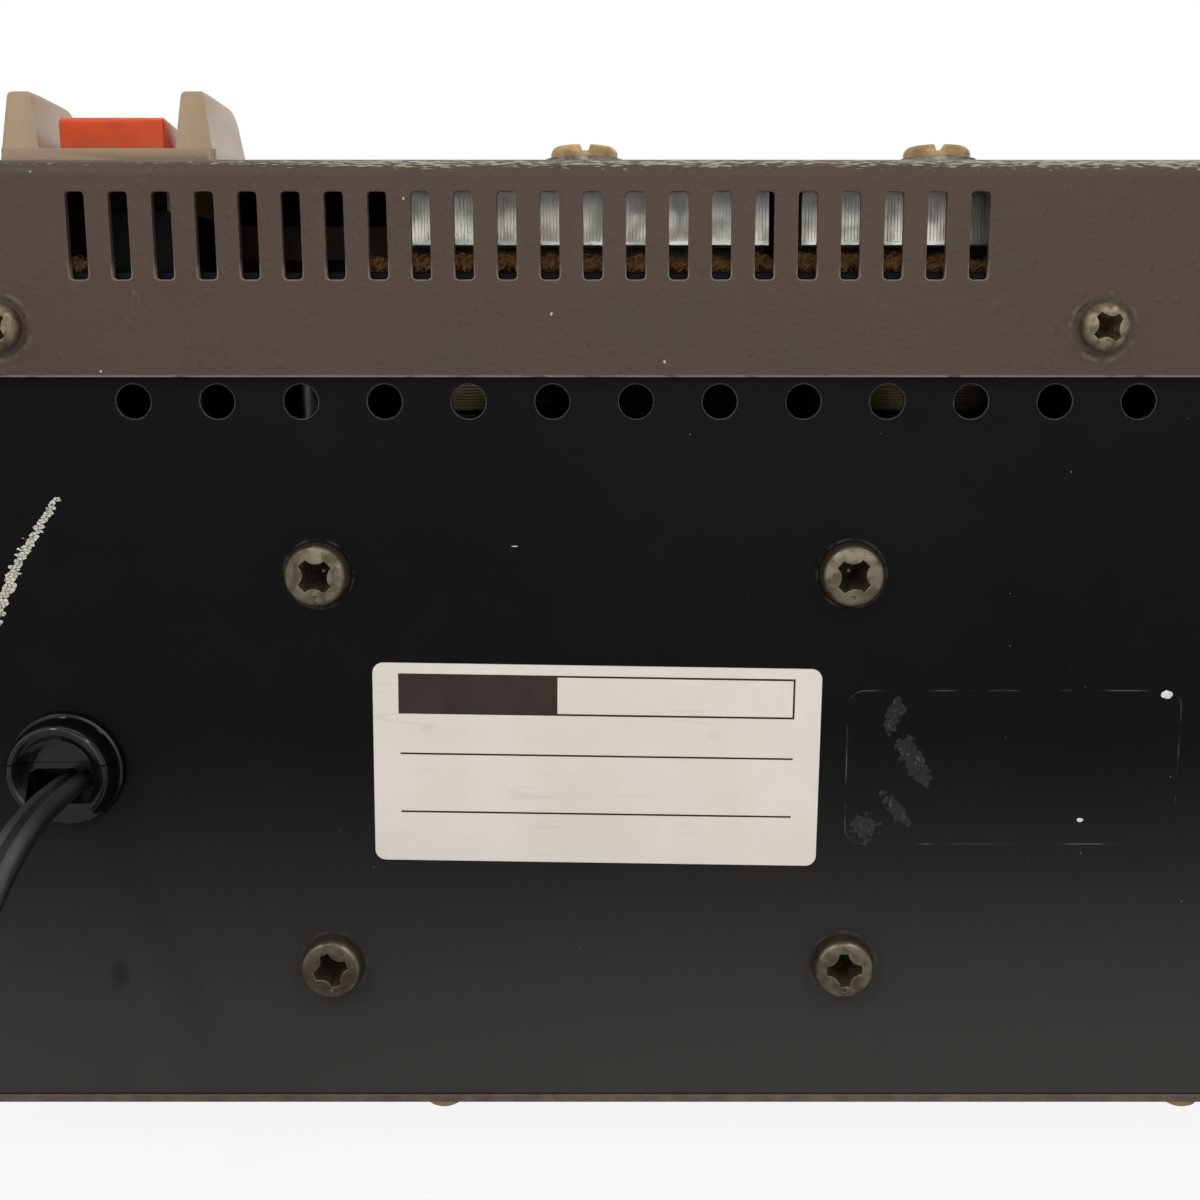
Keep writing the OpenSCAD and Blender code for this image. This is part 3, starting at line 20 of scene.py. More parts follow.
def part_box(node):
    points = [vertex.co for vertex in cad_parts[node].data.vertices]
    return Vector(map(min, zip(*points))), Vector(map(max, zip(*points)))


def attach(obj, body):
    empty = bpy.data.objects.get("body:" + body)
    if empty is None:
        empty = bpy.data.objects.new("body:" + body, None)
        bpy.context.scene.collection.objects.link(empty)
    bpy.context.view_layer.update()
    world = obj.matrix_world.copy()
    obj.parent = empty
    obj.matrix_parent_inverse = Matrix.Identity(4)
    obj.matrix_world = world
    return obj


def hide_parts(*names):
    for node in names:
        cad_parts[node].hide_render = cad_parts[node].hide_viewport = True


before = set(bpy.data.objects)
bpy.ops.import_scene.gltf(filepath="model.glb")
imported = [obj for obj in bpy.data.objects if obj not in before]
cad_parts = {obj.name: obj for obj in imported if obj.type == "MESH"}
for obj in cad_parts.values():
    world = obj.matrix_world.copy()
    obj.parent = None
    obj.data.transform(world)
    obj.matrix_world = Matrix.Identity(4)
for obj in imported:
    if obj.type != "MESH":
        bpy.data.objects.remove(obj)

LOG = logging.getLogger("cassette_duplicator")
MM = 0.001
CHASSIS = "chassis"
ORIGIN = (0.0, 0.0, 0.0)
CORE = 0.05 * MM  # radius that stands for the axis of a turned piece
WELD = 2e-6  # points nearer than this are one point
FLAT = radians(0.6)  # faces that bend less than this are one face
CREASE = radians(34)  # edges that bend more than this are shaded sharp
GLOW_DEPTH = (2 * MM, 0.8 * MM, 0.4 * MM)  # reach of red, green and blue light in a moulding
COVER_SCREW_X = (0.234, 0.078, -0.078, -0.234)
COVER_SCREW_Z = 0.130
SIDE_SCREW_Y = (-0.08675, 0.08325)
SIDE_SCREW_Z = 0.0212
BOLT_AT = ((0.1905, 0.0945), (0.1125, 0.0945), (0.1905, 0.034), (0.1125, 0.034))
TRANSIT_X = (0.1515, 0.1005)

Pair = tuple[float, float]
Outline = list[Pair]
Point = tuple[float, float, float]
Colour = tuple[float, float, float]
Socket = bpy.types.NodeSocket
Value = float | Sequence[float] | Socket
Sockets = dict[str, Socket]
Piece = bpy.types.Object


def seen(red: int, green: int, blue: int) -> Colour:
    """Turns a colour as the eye sees it, on the sRGB curve, into a shader's linear values.

    Args:
        red: Red, 0 to 255.
        green: Green, 0 to 255.
        blue: Blue, 0 to 255.

    Returns:
        The linear colour.
    """
    def linear(level: int) -> float:
        """Returns one channel's linear value."""
        share = level / 255
        return share / 12.92 if share <= 0.04045 else ((share + 0.055) / 1.055) ** 2.4

    return linear(red), linear(green), linear(blue)


def in_scene(name: str, data: bpy.types.ID) -> Piece:
    """Returns a new object that is in the scene."""
    made = bpy.data.objects.new(name, data)
    bpy.context.scene.collection.objects.link(made)
    return made


class Tree:
    """Makes nodes in one node tree and links them in the same call."""

    def __init__(self, tree: bpy.types.NodeTree) -> None:
        """Wraps a node tree.

        Args:
            tree: Node tree of a material, a world or a group.
        """
        self.tree = tree

    @classmethod
    def of(cls, owner: bpy.types.Material | bpy.types.World) -> "Tree":
        """Returns the emptied node tree of a material or a world."""
        owner.use_nodes = True
        owner.node_tree.nodes.clear()
        return cls(owner.node_tree)

    def feed(self, socket: Socket, value: Value) -> None:
        """Links or sets one input.

        Args:
            socket: Input to feed.
            value: Socket to link, or a number, vector or colour to set.
        """
        if isinstance(value, Socket):
            self.tree.links.new(value, socket)
        elif isinstance(value, (int, float)):
            socket.default_value = value
        else:
            missing = len(socket.default_value) - len(value)
            socket.default_value = tuple(value) + (1.0,) * missing

    def node(self, kind: str, feeds: dict[str | int, Value] | None = None,
             **settings: object) -> bpy.types.Node:
        """Adds a node.

        Args:
            kind: Node type, less a leading ShaderNode.
            feeds: Value of each input, by name or number.
            **settings: Properties of the node itself.

        Returns:
            The new node.
        """
        made = self.tree.nodes.new(kind if kind.startswith("Node") else f"ShaderNode{kind}")
        for name, setting in settings.items():
            setattr(made, name, setting)
        for key, value in (feeds or {}).items():
            self.feed(made.inputs[key], value)
        return made

    def math(self, operation: str, a: Value, b: Value = 0.0,
             clamp: bool = False) -> Socket:
        """Returns the result of a sum on one or two numbers."""
        return self.node("Math", {0: a, 1: b}, operation=operation,
                         use_clamp=clamp).outputs[0]

    def times(self, *factors: Value) -> Socket:
        """Returns the product of two or more numbers."""
        return functools.reduce(lambda a, b: self.math("MULTIPLY", a, b), factors)

    def plus(self, *terms: Value) -> Socket:
        """Returns the sum of two or more numbers."""
        return functools.reduce(lambda a, b: self.math("ADD", a, b), terms)

    def minus(self, a: Value, b: Value) -> Socket:
        """Returns number a less number b."""
        return self.math("SUBTRACT", a, b)

    def over(self, a: Value, b: Value) -> Socket:
        """Returns number a divided by number b."""
        return self.math("DIVIDE", a, b)

    def size(self, a: Value) -> Socket:
        """Returns number a without its sign."""
        return self.math("ABSOLUTE", a)

    def scaled(self, point: Value, by: Point) -> Socket:
        """Returns a place whose X, Y and Z are each multiplied by a number."""
        return self.vector("MULTIPLY", point, by)

    def vector(self, operation: str, a: Value, b: Value = ORIGIN) -> Socket:
        """Returns the result of a sum on vectors, a number where the sum gives one."""
        made = self.node("VectorMath", {0: a, 1: b}, operation=operation)
        return made.outputs["Value" if operation in ("DOT_PRODUCT", "LENGTH", "DISTANCE")
                            else "Vector"]

    def split(self, point: Value) -> tuple[Socket, ...]:
        """Returns the X, Y and Z of a vector."""
        return tuple(self.node("SeparateXYZ", {0: point}).outputs)

    def blend(self, share: Value, a: Value, b: Value) -> Socket:
        """Returns colour a turning to colour b as share goes from 0 to 1."""
        return self.node("Mix", {0: share, 6: a, 7: b}, data_type="RGBA").outputs[2]

    def turn(self, share: Value, a: Value, b: Value) -> Socket:
        """Returns number a turning to number b as share goes from 0 to 1."""
        return self.node("Mix", {0: share, 2: a, 3: b}, data_type="FLOAT").outputs[0]

    def step(self, value: Value, low: Value, high: Value) -> Socket:
        """Returns a smooth step that is 0 at low and 1 at high; low may lie above high."""
        return self.node("MapRange", {0: value, 1: low, 2: high, 3: 0.0, 4: 1.0},
                         interpolation_type="SMOOTHSTEP").outputs[0]

    def noise(self, point: Value, size: Value, detail: float = 2.0) -> Socket:
        """Returns cloudy noise from 0 to 1 whose lumps are about size across."""
        scale = self.math("DIVIDE", 1.0, size)
        return self.node("TexNoise", {"Vector": point, "Scale": scale,
                                                "Detail": detail}).outputs[0]

    def cells(self, point: Value, scale: Value, **settings: object) -> bpy.types.Node:
        """Adds a texture of small cells, scale of them to a metre."""
        return self.node("TexVoronoi", {"Vector": point, "Scale": scale}, **settings)

    def laid(self, point: Value, turn: Point, stretch: Point,
             shift: Point = ORIGIN) -> Socket:
        """Returns a place that is stretched, turned and shifted."""
        return self.node("Mapping", {"Vector": point, "Location": shift,
                                               "Rotation": turn, "Scale": stretch}).outputs[0]


class Effect:
    """A look that several finishes share, kept as one shader node group."""

    def __init__(self, name: str, inputs: dict[str, float | Point],
                 wire: Callable[[Tree, Sockets], Socket]) -> None:
        """Describes the group; it is built when it is first used.

        Args:
            name: Name of the node group.
            inputs: Each input's name and default.
            wire: Makes the nodes between them and the one output, Mask.
        """
        self.name = name
        self.inputs = inputs
        self.wire = wire

    def group(self) -> bpy.types.NodeTree:
        """Returns the node group, and builds it once."""
        known = bpy.data.node_groups.get(self.name)
        if known:
            return known
        group = bpy.data.node_groups.new(self.name, "ShaderNodeTree")
        for name, default in self.inputs.items():
            kind = "NodeSocketFloat" if isinstance(default, float) else "NodeSocketVector"
            socket = group.interface.new_socket(name, in_out="INPUT", socket_type=kind)
            socket.default_value = default
        group.interface.new_socket("Mask", in_out="OUTPUT", socket_type="NodeSocketFloat")
        inner = Tree(group)
        entry = inner.node("NodeGroupInput")
        mask = self.wire(inner, {name: entry.outputs[name] for name in self.inputs})
        inner.node("NodeGroupOutput", {"Mask": mask})
        return group

    def place(self, tree: Tree, **values: Value) -> Socket:
        """Places the group in a material.

        Args:
            tree: Tree of the material.
            **values: Value of each input.

        Returns:
            The group's output.
        """
        made = tree.node("Group", dict(values), node_tree=self.group())
        return made.outputs["Mask"]


def effect(name: str, **inputs: float | Point) -> Callable[[Callable], Effect]:
    """Turns a wiring function into an effect.

    Args:
        name: Name of the node group.
        **inputs: Each input's default.

    Returns:
        The decorator.
    """
    return lambda wire: Effect(name, inputs, wire)


@effect("Colour drift", Point=ORIGIN, Size=0.03)
def colour_drift(tree: Tree, given: Sockets) -> Socket:
    """Slow clouds over finer ones, as a batch of paint or an old moulding shows."""
    broad = tree.noise(given["Point"], given["Size"], 3.0)
    fine = tree.noise(given["Point"], tree.times(given["Size"], 0.13), 2.0)
    mixed = tree.plus(tree.times(broad, 0.75), tree.times(fine, 0.25))
    return tree.step(mixed, 0.3, 0.7)


@effect("Surface grain", Point=ORIGIN, Size=0.0006, Stretch=(1.0, 1.0, 1.0), Lumps=0.0)
def surface_grain(tree: Tree, given: Sockets) -> Socket:
    """Height of a textured skin: fine pebbling with a few round lumps in it."""
    point = tree.scaled(given["Point"], given["Stretch"])
    pebbles = tree.noise(point, given["Size"], 2.0)
    cells = tree.cells(point, tree.over(0.4, given["Size"]),
                       feature="SMOOTH_F1").outputs["Distance"]
    sparse = tree.step(tree.noise(point, tree.times(given["Size"], 6.0), 1.0), 0.48, 0.6)
    lumps = tree.times(tree.step(cells, 0.42, 0.05), sparse)
    return tree.turn(given["Lumps"], pebbles, lumps)


@effect("Edge wear", Point=ORIGIN, Rounded=(0.0, 0.0, 1.0), Amount=0.5, Patch=0.004)
def edge_wear(tree: Tree, given: Sockets) -> Socket:
    """Where sharp edges have lost their finish, in patches."""
    true = tree.node("NewGeometry").outputs["Normal"]
    sharp = tree.minus(1.0, tree.vector("DOT_PRODUCT", given["Rounded"], true))
    patch = tree.noise(given["Point"], given["Patch"], 4.0)
    level = tree.plus(tree.times(sharp, 2.4), tree.times(patch, given["Amount"]))
    worn = tree.step(level, 0.58, 0.8)
    return tree.times(worn, tree.step(sharp, 0.02, 0.08))


@effect("Hairlines", Point=ORIGIN, Size=0.012, Amount=0.3)
def hairlines(tree: Tree, given: Sockets) -> Socket:
    """Short fine scratches that lie in two directions."""
    total: Value = 0.0
    for angle, seed in ((0.5, 0.0), (2.1, 3.7)):
        turned = tree.laid(given["Point"], (angle,) * 3, (1.0, 0.06, 0.5), (seed,) * 3)
        line = tree.size(tree.minus(tree.noise(turned, tree.times(given["Size"], 0.1), 1.0), 0.5))
        where = tree.noise(turned, given["Size"], 2.0)
        kept = tree.step(where, tree.minus(0.8, given["Amount"]), 0.8)
        total = tree.plus(total, tree.times(tree.step(line, 0.012, 0.002), kept))
    return tree.math("MINIMUM", total, 1.0)


@effect("Specks", Point=ORIGIN, Size=0.004, Density=0.2)
def specks(tree: Tree, given: Sockets) -> Socket:
    """Small stray grains and fibres, one at most in each cell."""
    bend = tree.node("TexNoise", {"Vector": given["Point"], "Scale": 900.0}).outputs[1]
    point = tree.vector("ADD", given["Point"], tree.scaled(bend, (6e-4, 6e-4, 6e-4)))
    cells = tree.cells(point, tree.over(1.0, given["Size"]))
    red, green, _ = tree.split(cells.outputs["Color"])
    reach = tree.times(tree.math("POWER", green, 4.0), 0.06)
    grain = tree.step(cells.outputs["Distance"], tree.plus(reach, 0.02), reach)
    return tree.times(grain, tree.math("LESS_THAN", red, given["Density"]))


@effect("Settled dust", Point=ORIGIN, Amount=0.3)
def settled_dust(tree: Tree, given: Sockets) -> Socket:
    """A thin film that lies on what faces upwards and in corners."""
    up = tree.split(tree.node("NewGeometry").outputs["Normal"])[2]
    cloud = tree.noise(given["Point"], 0.018, 5.0)
    film = tree.times(tree.step(up, 0.3, 0.95), tree.step(cloud, 0.25, 0.8))
    return tree.times(film, given["Amount"])


@effect("Ribs", Point=ORIGIN, Along=(1.0, 0.0, 0.0), Pitch=0.0005)
def ribs(tree: Tree, given: Sockets) -> Socket:
    """Height of even ridges that follow each other in one direction."""
    way = tree.vector("DOT_PRODUCT", given["Point"], given["Along"])
    turns = tree.times(tree.over(way, given["Pitch"]), tau)
    return tree.math("MULTIPLY_ADD", tree.math("SINE", turns), 0.5, clamp=False)


@effect("Ring scuff", Point=ORIGIN, Centre=ORIGIN, Radius=0.004, Width=0.0005)
def scuff_and_shade_ring(tree: Tree, given: Sockets) -> Socket:
    """A broken ring round a screw head, laid as a rubbed scuff and, round the cover screws, as
    painted shade.
    """
    away = tree.vector("DISTANCE", given["Point"], given["Centre"])
    band = tree.step(tree.size(tree.minus(away, given["Radius"])), given["Width"], 0.0)
    broken = tree.step(tree.noise(given["Point"], 0.0016, 3.0), 0.42, 0.62)
    return tree.times(band, broken)


@effect("Box edge", Point=ORIGIN, Centre=ORIGIN, Half=(0.02, 0.0, 0.01),
        Corner=0.002)
def box_edge(tree: Tree, given: Sockets) -> Socket:
    """Distance to the edge of an upright rounded rectangle, below 0 inside it."""
    offset = tree.vector("ABSOLUTE", tree.vector("SUBTRACT", given["Point"], given["Centre"]))
    past = tree.vector("SUBTRACT", offset, given["Half"])
    x, _, z = tree.split(past)
    x = tree.plus(x, given["Corner"])
    z = tree.plus(z, given["Corner"])
    outer = tree.node("CombineXYZ", {0: tree.math("MAXIMUM", x, 0.0),
                                               2: tree.math("MAXIMUM", z, 0.0)}).outputs[0]
    inner = tree.math("MINIMUM", tree.math("MAXIMUM", x, z), 0.0)
    reach = tree.plus(tree.vector("LENGTH", outer), inner)
    return tree.minus(reach, given["Corner"])


@effect("Flakes", Place=ORIGIN, Reach=1.0)
def flakes(tree: Tree, given: Sockets) -> Socket:
    """Whole flakes with thin gaps between them, where a place's Y is less than a reach."""
    whole = tree.cells(given["Place"], 1.0, voronoi_dimensions="2D")
    edges = tree.cells(given["Place"], 1.0, voronoi_dimensions="2D", feature="DISTANCE_TO_EDGE")
    for texture in (whole, edges):
        texture.inputs["Randomness"].default_value = 0.85
    gap = edges.outputs["Distance"]
    off = tree.size(tree.split(whole.outputs["Position"])[1])
    return tree.times(tree.math("LESS_THAN", off, given["Reach"]), tree.step(gap, 0.015, 0.1))


@effect("Torn patch", Point=ORIGIN, Centre=ORIGIN, Half=(0.002, 1.0, 0.004),
        Lean=0.0)
def torn_patch(tree: Tree, given: Sockets) -> Socket:
    """An upright leaning oval with torn edges and holes in it."""
    offset = tree.vector("SUBTRACT", given["Point"], given["Centre"])
    x, y, z = tree.split(offset)
    x = tree.plus(x, tree.times(z, given["Lean"]))
    leaning = tree.node("CombineXYZ", {0: x, 1: y, 2: z}).outputs[0]
    away = tree.vector("LENGTH", tree.vector("DIVIDE", leaning, given["Half"]))
    torn = tree.noise(given["Point"], 0.0011, 6.0)
    level = tree.minus(tree.times(torn, 2.2), away)
    return tree.step(level, 0.22, 0.42)


@dataclass
class Surface:
    """A material's look while its layers are laid on a place, from the base upwards.

    Attributes:
        normal: Normal with the edges rounded, or None where they stay sharp.
        height: Relief so far, in millimetres.
    """

    tree: Tree
    point: Value
    normal: Socket | None
    colour: Value
    roughness: Value
    metallic: Value
    height: Value = 0.0

    def patches(self, size: float, detail: float, none: float, full: float) -> Socket:
        """Returns cloudy patches: 0 where the noise is at none, and 1 where it is at full."""
        return self.tree.step(self.tree.noise(self.point, size, detail), none, full)

    def lay(self, mask: Value, colour: Value | None = None, roughness: float | None = None,
            metallic: float | None = None, lift: float = 0.0, share: float = 1.0) -> None:
        """Lays one layer where the mask says.

        Args:
            mask: Where the layer lies, 0 to 1.
            colour: Its colour, if it has one.
            roughness: Its roughness, if it changes that.
            metallic: Its metallic share, if it changes that.
            lift: How far it stands proud, in millimetres.
            share: How much of the mask holds.
        """
        if share < 1.0:
            mask = self.tree.times(mask, share)
        if colour is not None:
            self.colour = self.tree.blend(mask, self.colour, colour)
        if roughness is not None:
            self.roughness = self.tree.turn(mask, self.roughness, roughness)
        if metallic is not None:
            self.metallic = self.tree.turn(mask, self.metallic, metallic)
        if lift:
            self.height = self.tree.math("ADD", self.height, self.tree.math("MULTIPLY", mask, lift))


@dataclass(frozen=True)
class Finish:
    """One finish with its grain and wear, around a Principled shader.

    Lengths are in metres, apart from grain, the height of the skin's relief in millimetres. A
    corner of 0 leaves the edges as the mesh has them, and such a finish has no edge wear. The
    colours of worn edges, scratches and dust are rubbed, scored and dusty.
    """

    name: str
    colour: Colour
    roughness: float = 0.5
    metallic: float = 0.0
    specular: float = 0.5
    coat: float = 0.0
    transmission: float = 0.0
    subsurface: float = 0.0
    drift: float = 0.12
    drift_size: float = 25 * MM
    grain: float = 0.0
    grain_size: float = 0.6 * MM
    stretch: Point = (1.0, 1.0, 1.0)
    lumps: float = 0.0
    corner: float = 0.0
    wear: float = 0.0
    rubbed: Colour = (0.4, 0.38, 0.35)
    wear_metallic: float = 0.0
    scratch: float = 0.0
    scored: Colour = (0.35, 0.34, 0.33)
    speck: float = 0.0
    dust: float = 0.0
    dusty: Colour = (0.32, 0.29, 0.26)

    def marks(self, surface: Surface) -> None:
        """Lays marks that only this finish has; a plain one has none."""

    def material(self) -> bpy.types.Material:
        """Returns the finish's material, and builds it once."""
        name = f"{self.name}_finish"
        known = bpy.data.materials.get(name)
        if known:
            return known
        material = bpy.data.materials.new(name)
        material.diffuse_color = self.colour + (1.0,)
        tree = Tree.of(material)
        point = tree.node("TexCoord").outputs["Object"]
        soft = None
        if self.corner:
            soft = tree.node("Bevel", {"Radius": self.corner}, samples=4).outputs[0]
        surface = Surface(tree, point, soft, self.colour, self.roughness, self.metallic)
        self.age(surface)
        self.close(surface)
        return material

    def age(self, surface: Surface) -> None:
        """Lays the grain, drift, marks and wear in the order in which they came.

        Args:
            surface: Surface to lay them on.
        """
        tree, point = surface.tree, surface.point
        cloud = colour_drift.place(tree, Point=point, Size=self.drift_size)
        deep = tuple(c * (1 - self.drift) for c in self.colour)
        pale = tuple(min(1.0, c * (1 + self.drift)) for c in self.colour)
        surface.colour = tree.blend(cloud, deep, pale)
        surface.roughness = tree.turn(cloud, self.roughness * 0.9, min(1.0, self.roughness * 1.12))
        if self.grain:
            skin = surface_grain.place(tree, Point=point, Size=self.grain_size,
                                       Stretch=self.stretch, Lumps=self.lumps)
            surface.lay(skin, lift=self.grain)
        if self.scratch:
            lines = hairlines.place(tree, Point=point, Amount=self.scratch)
            surface.lay(lines, self.scored, lift=-0.004, share=0.6)
        self.marks(surface)
        if self.wear and surface.normal:
            worn = edge_wear.place(tree, Point=point, Rounded=surface.normal, Amount=self.wear)
            surface.lay(worn, self.rubbed, 0.45, self.wear_metallic or None)
        if self.dust:
            film = settled_dust.place(tree, Point=point, Amount=self.dust)
            surface.lay(film, self.dusty, 0.9)
        if self.speck:
            grains = specks.place(tree, Point=point, Density=self.speck)
            surface.lay(grains, seen(205, 200, 190), 0.8, 0.0, share=0.75)

    def close(self, surface: Surface) -> None:
        """Feeds the finished layers to the shader.

        Args:
            surface: Surface with all its layers.
        """
        tree = surface.tree
        relief: dict[str | int, Value] = {"Height": surface.height, "Distance": MM, "Strength": 1.0}
        if surface.normal:
            relief["Normal"] = surface.normal
        bump = tree.node("Bump", relief).outputs[0]
        shader = tree.node("BsdfPrincipled",
                           {"Base Color": surface.colour, "Roughness": surface.roughness,
                            "Metallic": surface.metallic, "Normal": bump,
                            "Specular IOR Level": self.specular, "Coat Weight": self.coat,
                            "Transmission Weight": self.transmission,
                            "Subsurface Weight": self.subsurface,
                            "Subsurface Radius": GLOW_DEPTH,
                            "Subsurface Scale": 1.0})
        tree.node("OutputMaterial", {0: shader.outputs[0]})


@dataclass(frozen=True)
class CoverPaint(Finish):
    """Brown texture paint of the cover, rubbed pale along its rear bend and screw seats, with
    painted highlights along the bend's crest and the slots' lower rims, and painted shade round the
    screw heads.

    Attributes:
        top: Height of the cover's top.
        rear: Y of the cover's rear face.
        flange: Height of the rear flange's lower edge.
        calm_from: X past which the bend is hardly rubbed.
        slot_span: X of the first and the last slot's middle.
        slot_pitch: Distance from one slot to the next.
        slot_middle: Height of the slots' middle.
        slot_half: Half a slot's width and height.
        seats: Centres of the screws that rub rings into it, and round which painted shade lies.
    """

    top: float = 0.153
    rear: float = 0.14325
    flange: float = 0.123
    calm_from: float = 0.214
    slot_span: Pair = (0.222, 0.096)
    slot_pitch: float = 6 * MM
    slot_middle: float = 0.1425
    slot_half: Pair = (1.35 * MM, 6 * MM)
    seats: tuple[Point, ...] = ()

    def marks(self, surface: Surface) -> None:
        """Lays the worn bend with its painted crest highlight, the bare lower edge, the painted
        highlights on the slot rims, and the scuffed rings and painted shade round the screws.
        """
        self.bend(surface)
        tree = surface.tree
        y, z = tree.split(surface.point)[1:]
        drawn = tree.scaled(surface.point, (0.35, 1.0, 1.0))
        on_flange = tree.step(tree.minus(self.rear, y), 1.5 * MM, 1.2 * MM)
        low = tree.step(z, self.flange + 0.34 * MM, self.flange + 0.14 * MM)
        chipped = tree.step(tree.noise(drawn, 1.3 * MM, 3.0), 0.3, 0.46)
        edge = tree.times(on_flange, low, chipped)
        surface.lay(edge, seen(136, 122, 106), 0.45, share=0.75)
        self.slot_rim_highlights(surface)
        for seat in self.seats:
            # Painted shade: a dark broken ring round each screw head stands in for the shade round
            # it, over a slight real groove.
            groove = scuff_and_shade_ring.place(tree, Point=surface.point, Centre=seat, Radius=4.0 * MM,
                                      Width=0.55 * MM)
            surface.lay(groove, seen(48, 40, 35), 0.4, None, -0.05)
            halo = scuff_and_shade_ring.place(tree, Point=surface.point, Centre=seat, Radius=4.7 * MM,
                                    Width=0.5 * MM)
            surface.lay(halo, seen(118, 106, 92), 0.42, share=0.4)

    def slot_rim_highlights(self, surface: Surface) -> None:
        """Lays a painted highlight: a thin pale line along each slot's lower edge, where the
        rounded paint catches the light.

        Args:
            surface: Surface of the cover.
        """
        tree = surface.tree
        x, y, z = tree.split(surface.point)
        first, last = self.slot_span
        across = tree.math("PINGPONG", tree.minus(x, first), self.slot_pitch / 2)
        folded = tree.node("CombineXYZ", {0: across, 2: z}).outputs[0]
        edge = box_edge.place(tree, Point=folded, Centre=(0.0, 0.0, self.slot_middle),
                              Half=(self.slot_half[0], 1.0, self.slot_half[1]), Corner=0.6 * MM)
        line = tree.step(tree.size(edge), 0.2 * MM, 0.05 * MM)
        foot = self.slot_middle - self.slot_half[1]
        low = tree.step(z, foot + 3 * MM, foot + 0.6 * MM)
        inside = tree.times(tree.math("LESS_THAN", x, first + self.slot_pitch / 2),
                            tree.math("GREATER_THAN", x, last - self.slot_pitch / 2))
        rear = tree.math("GREATER_THAN", y, self.rear - 2 * MM)
        shown = tree.times(line, low, tree.times(inside, rear))
        # Painted highlight along the slots' lower rims.
        surface.lay(shown, seen(156, 144, 128), 0.4, share=0.6)

    def bend(self, surface: Surface) -> None:
        """Lays the long pale streaks that handling has rubbed along the rear bend, and a painted
        highlight along the bend's crest.

        Args:
            surface: Surface of the cover.
        """
        tree = surface.tree
        x, y, z = tree.split(surface.point)
        below = tree.minus(self.top, z)
        ahead = tree.minus(self.rear, y)
        near = tree.times(tree.step(below, 2.2 * MM, 0.3 * MM),
                          tree.step(ahead, 2.6 * MM, 0.6 * MM))
        drawn = tree.scaled(surface.point, (0.16, 1.0, 1.0))
        streaks = tree.noise(drawn, 0.26 * MM, 3.0)
        handled = tree.noise(tree.scaled(surface.point, (1.0, 0.0, 0.0)), 48 * MM, 2.0)
        calm = tree.step(x, self.calm_from, self.calm_from - 34 * MM)
        level = tree.plus(streaks, tree.times(near, 0.31))
        level = tree.plus(level, tree.times(handled, calm, 0.3))
        rubbed = tree.times(tree.step(level, 0.86, 0.99), tree.step(near, 0.04, 0.2))
        surface.lay(rubbed, seen(164, 155, 132), 0.42, 0.3, -0.015, share=0.7)
        # Painted highlight: a pale line along the crest of the bend, where it catches the light.
        crest_highlight = tree.times(tree.step(below, 0.5 * MM, 0.05 * MM),
                           tree.step(ahead, 1.6 * MM, 0.3 * MM))
        surface.lay(crest_highlight, seen(150, 142, 124), 0.4, share=0.5)


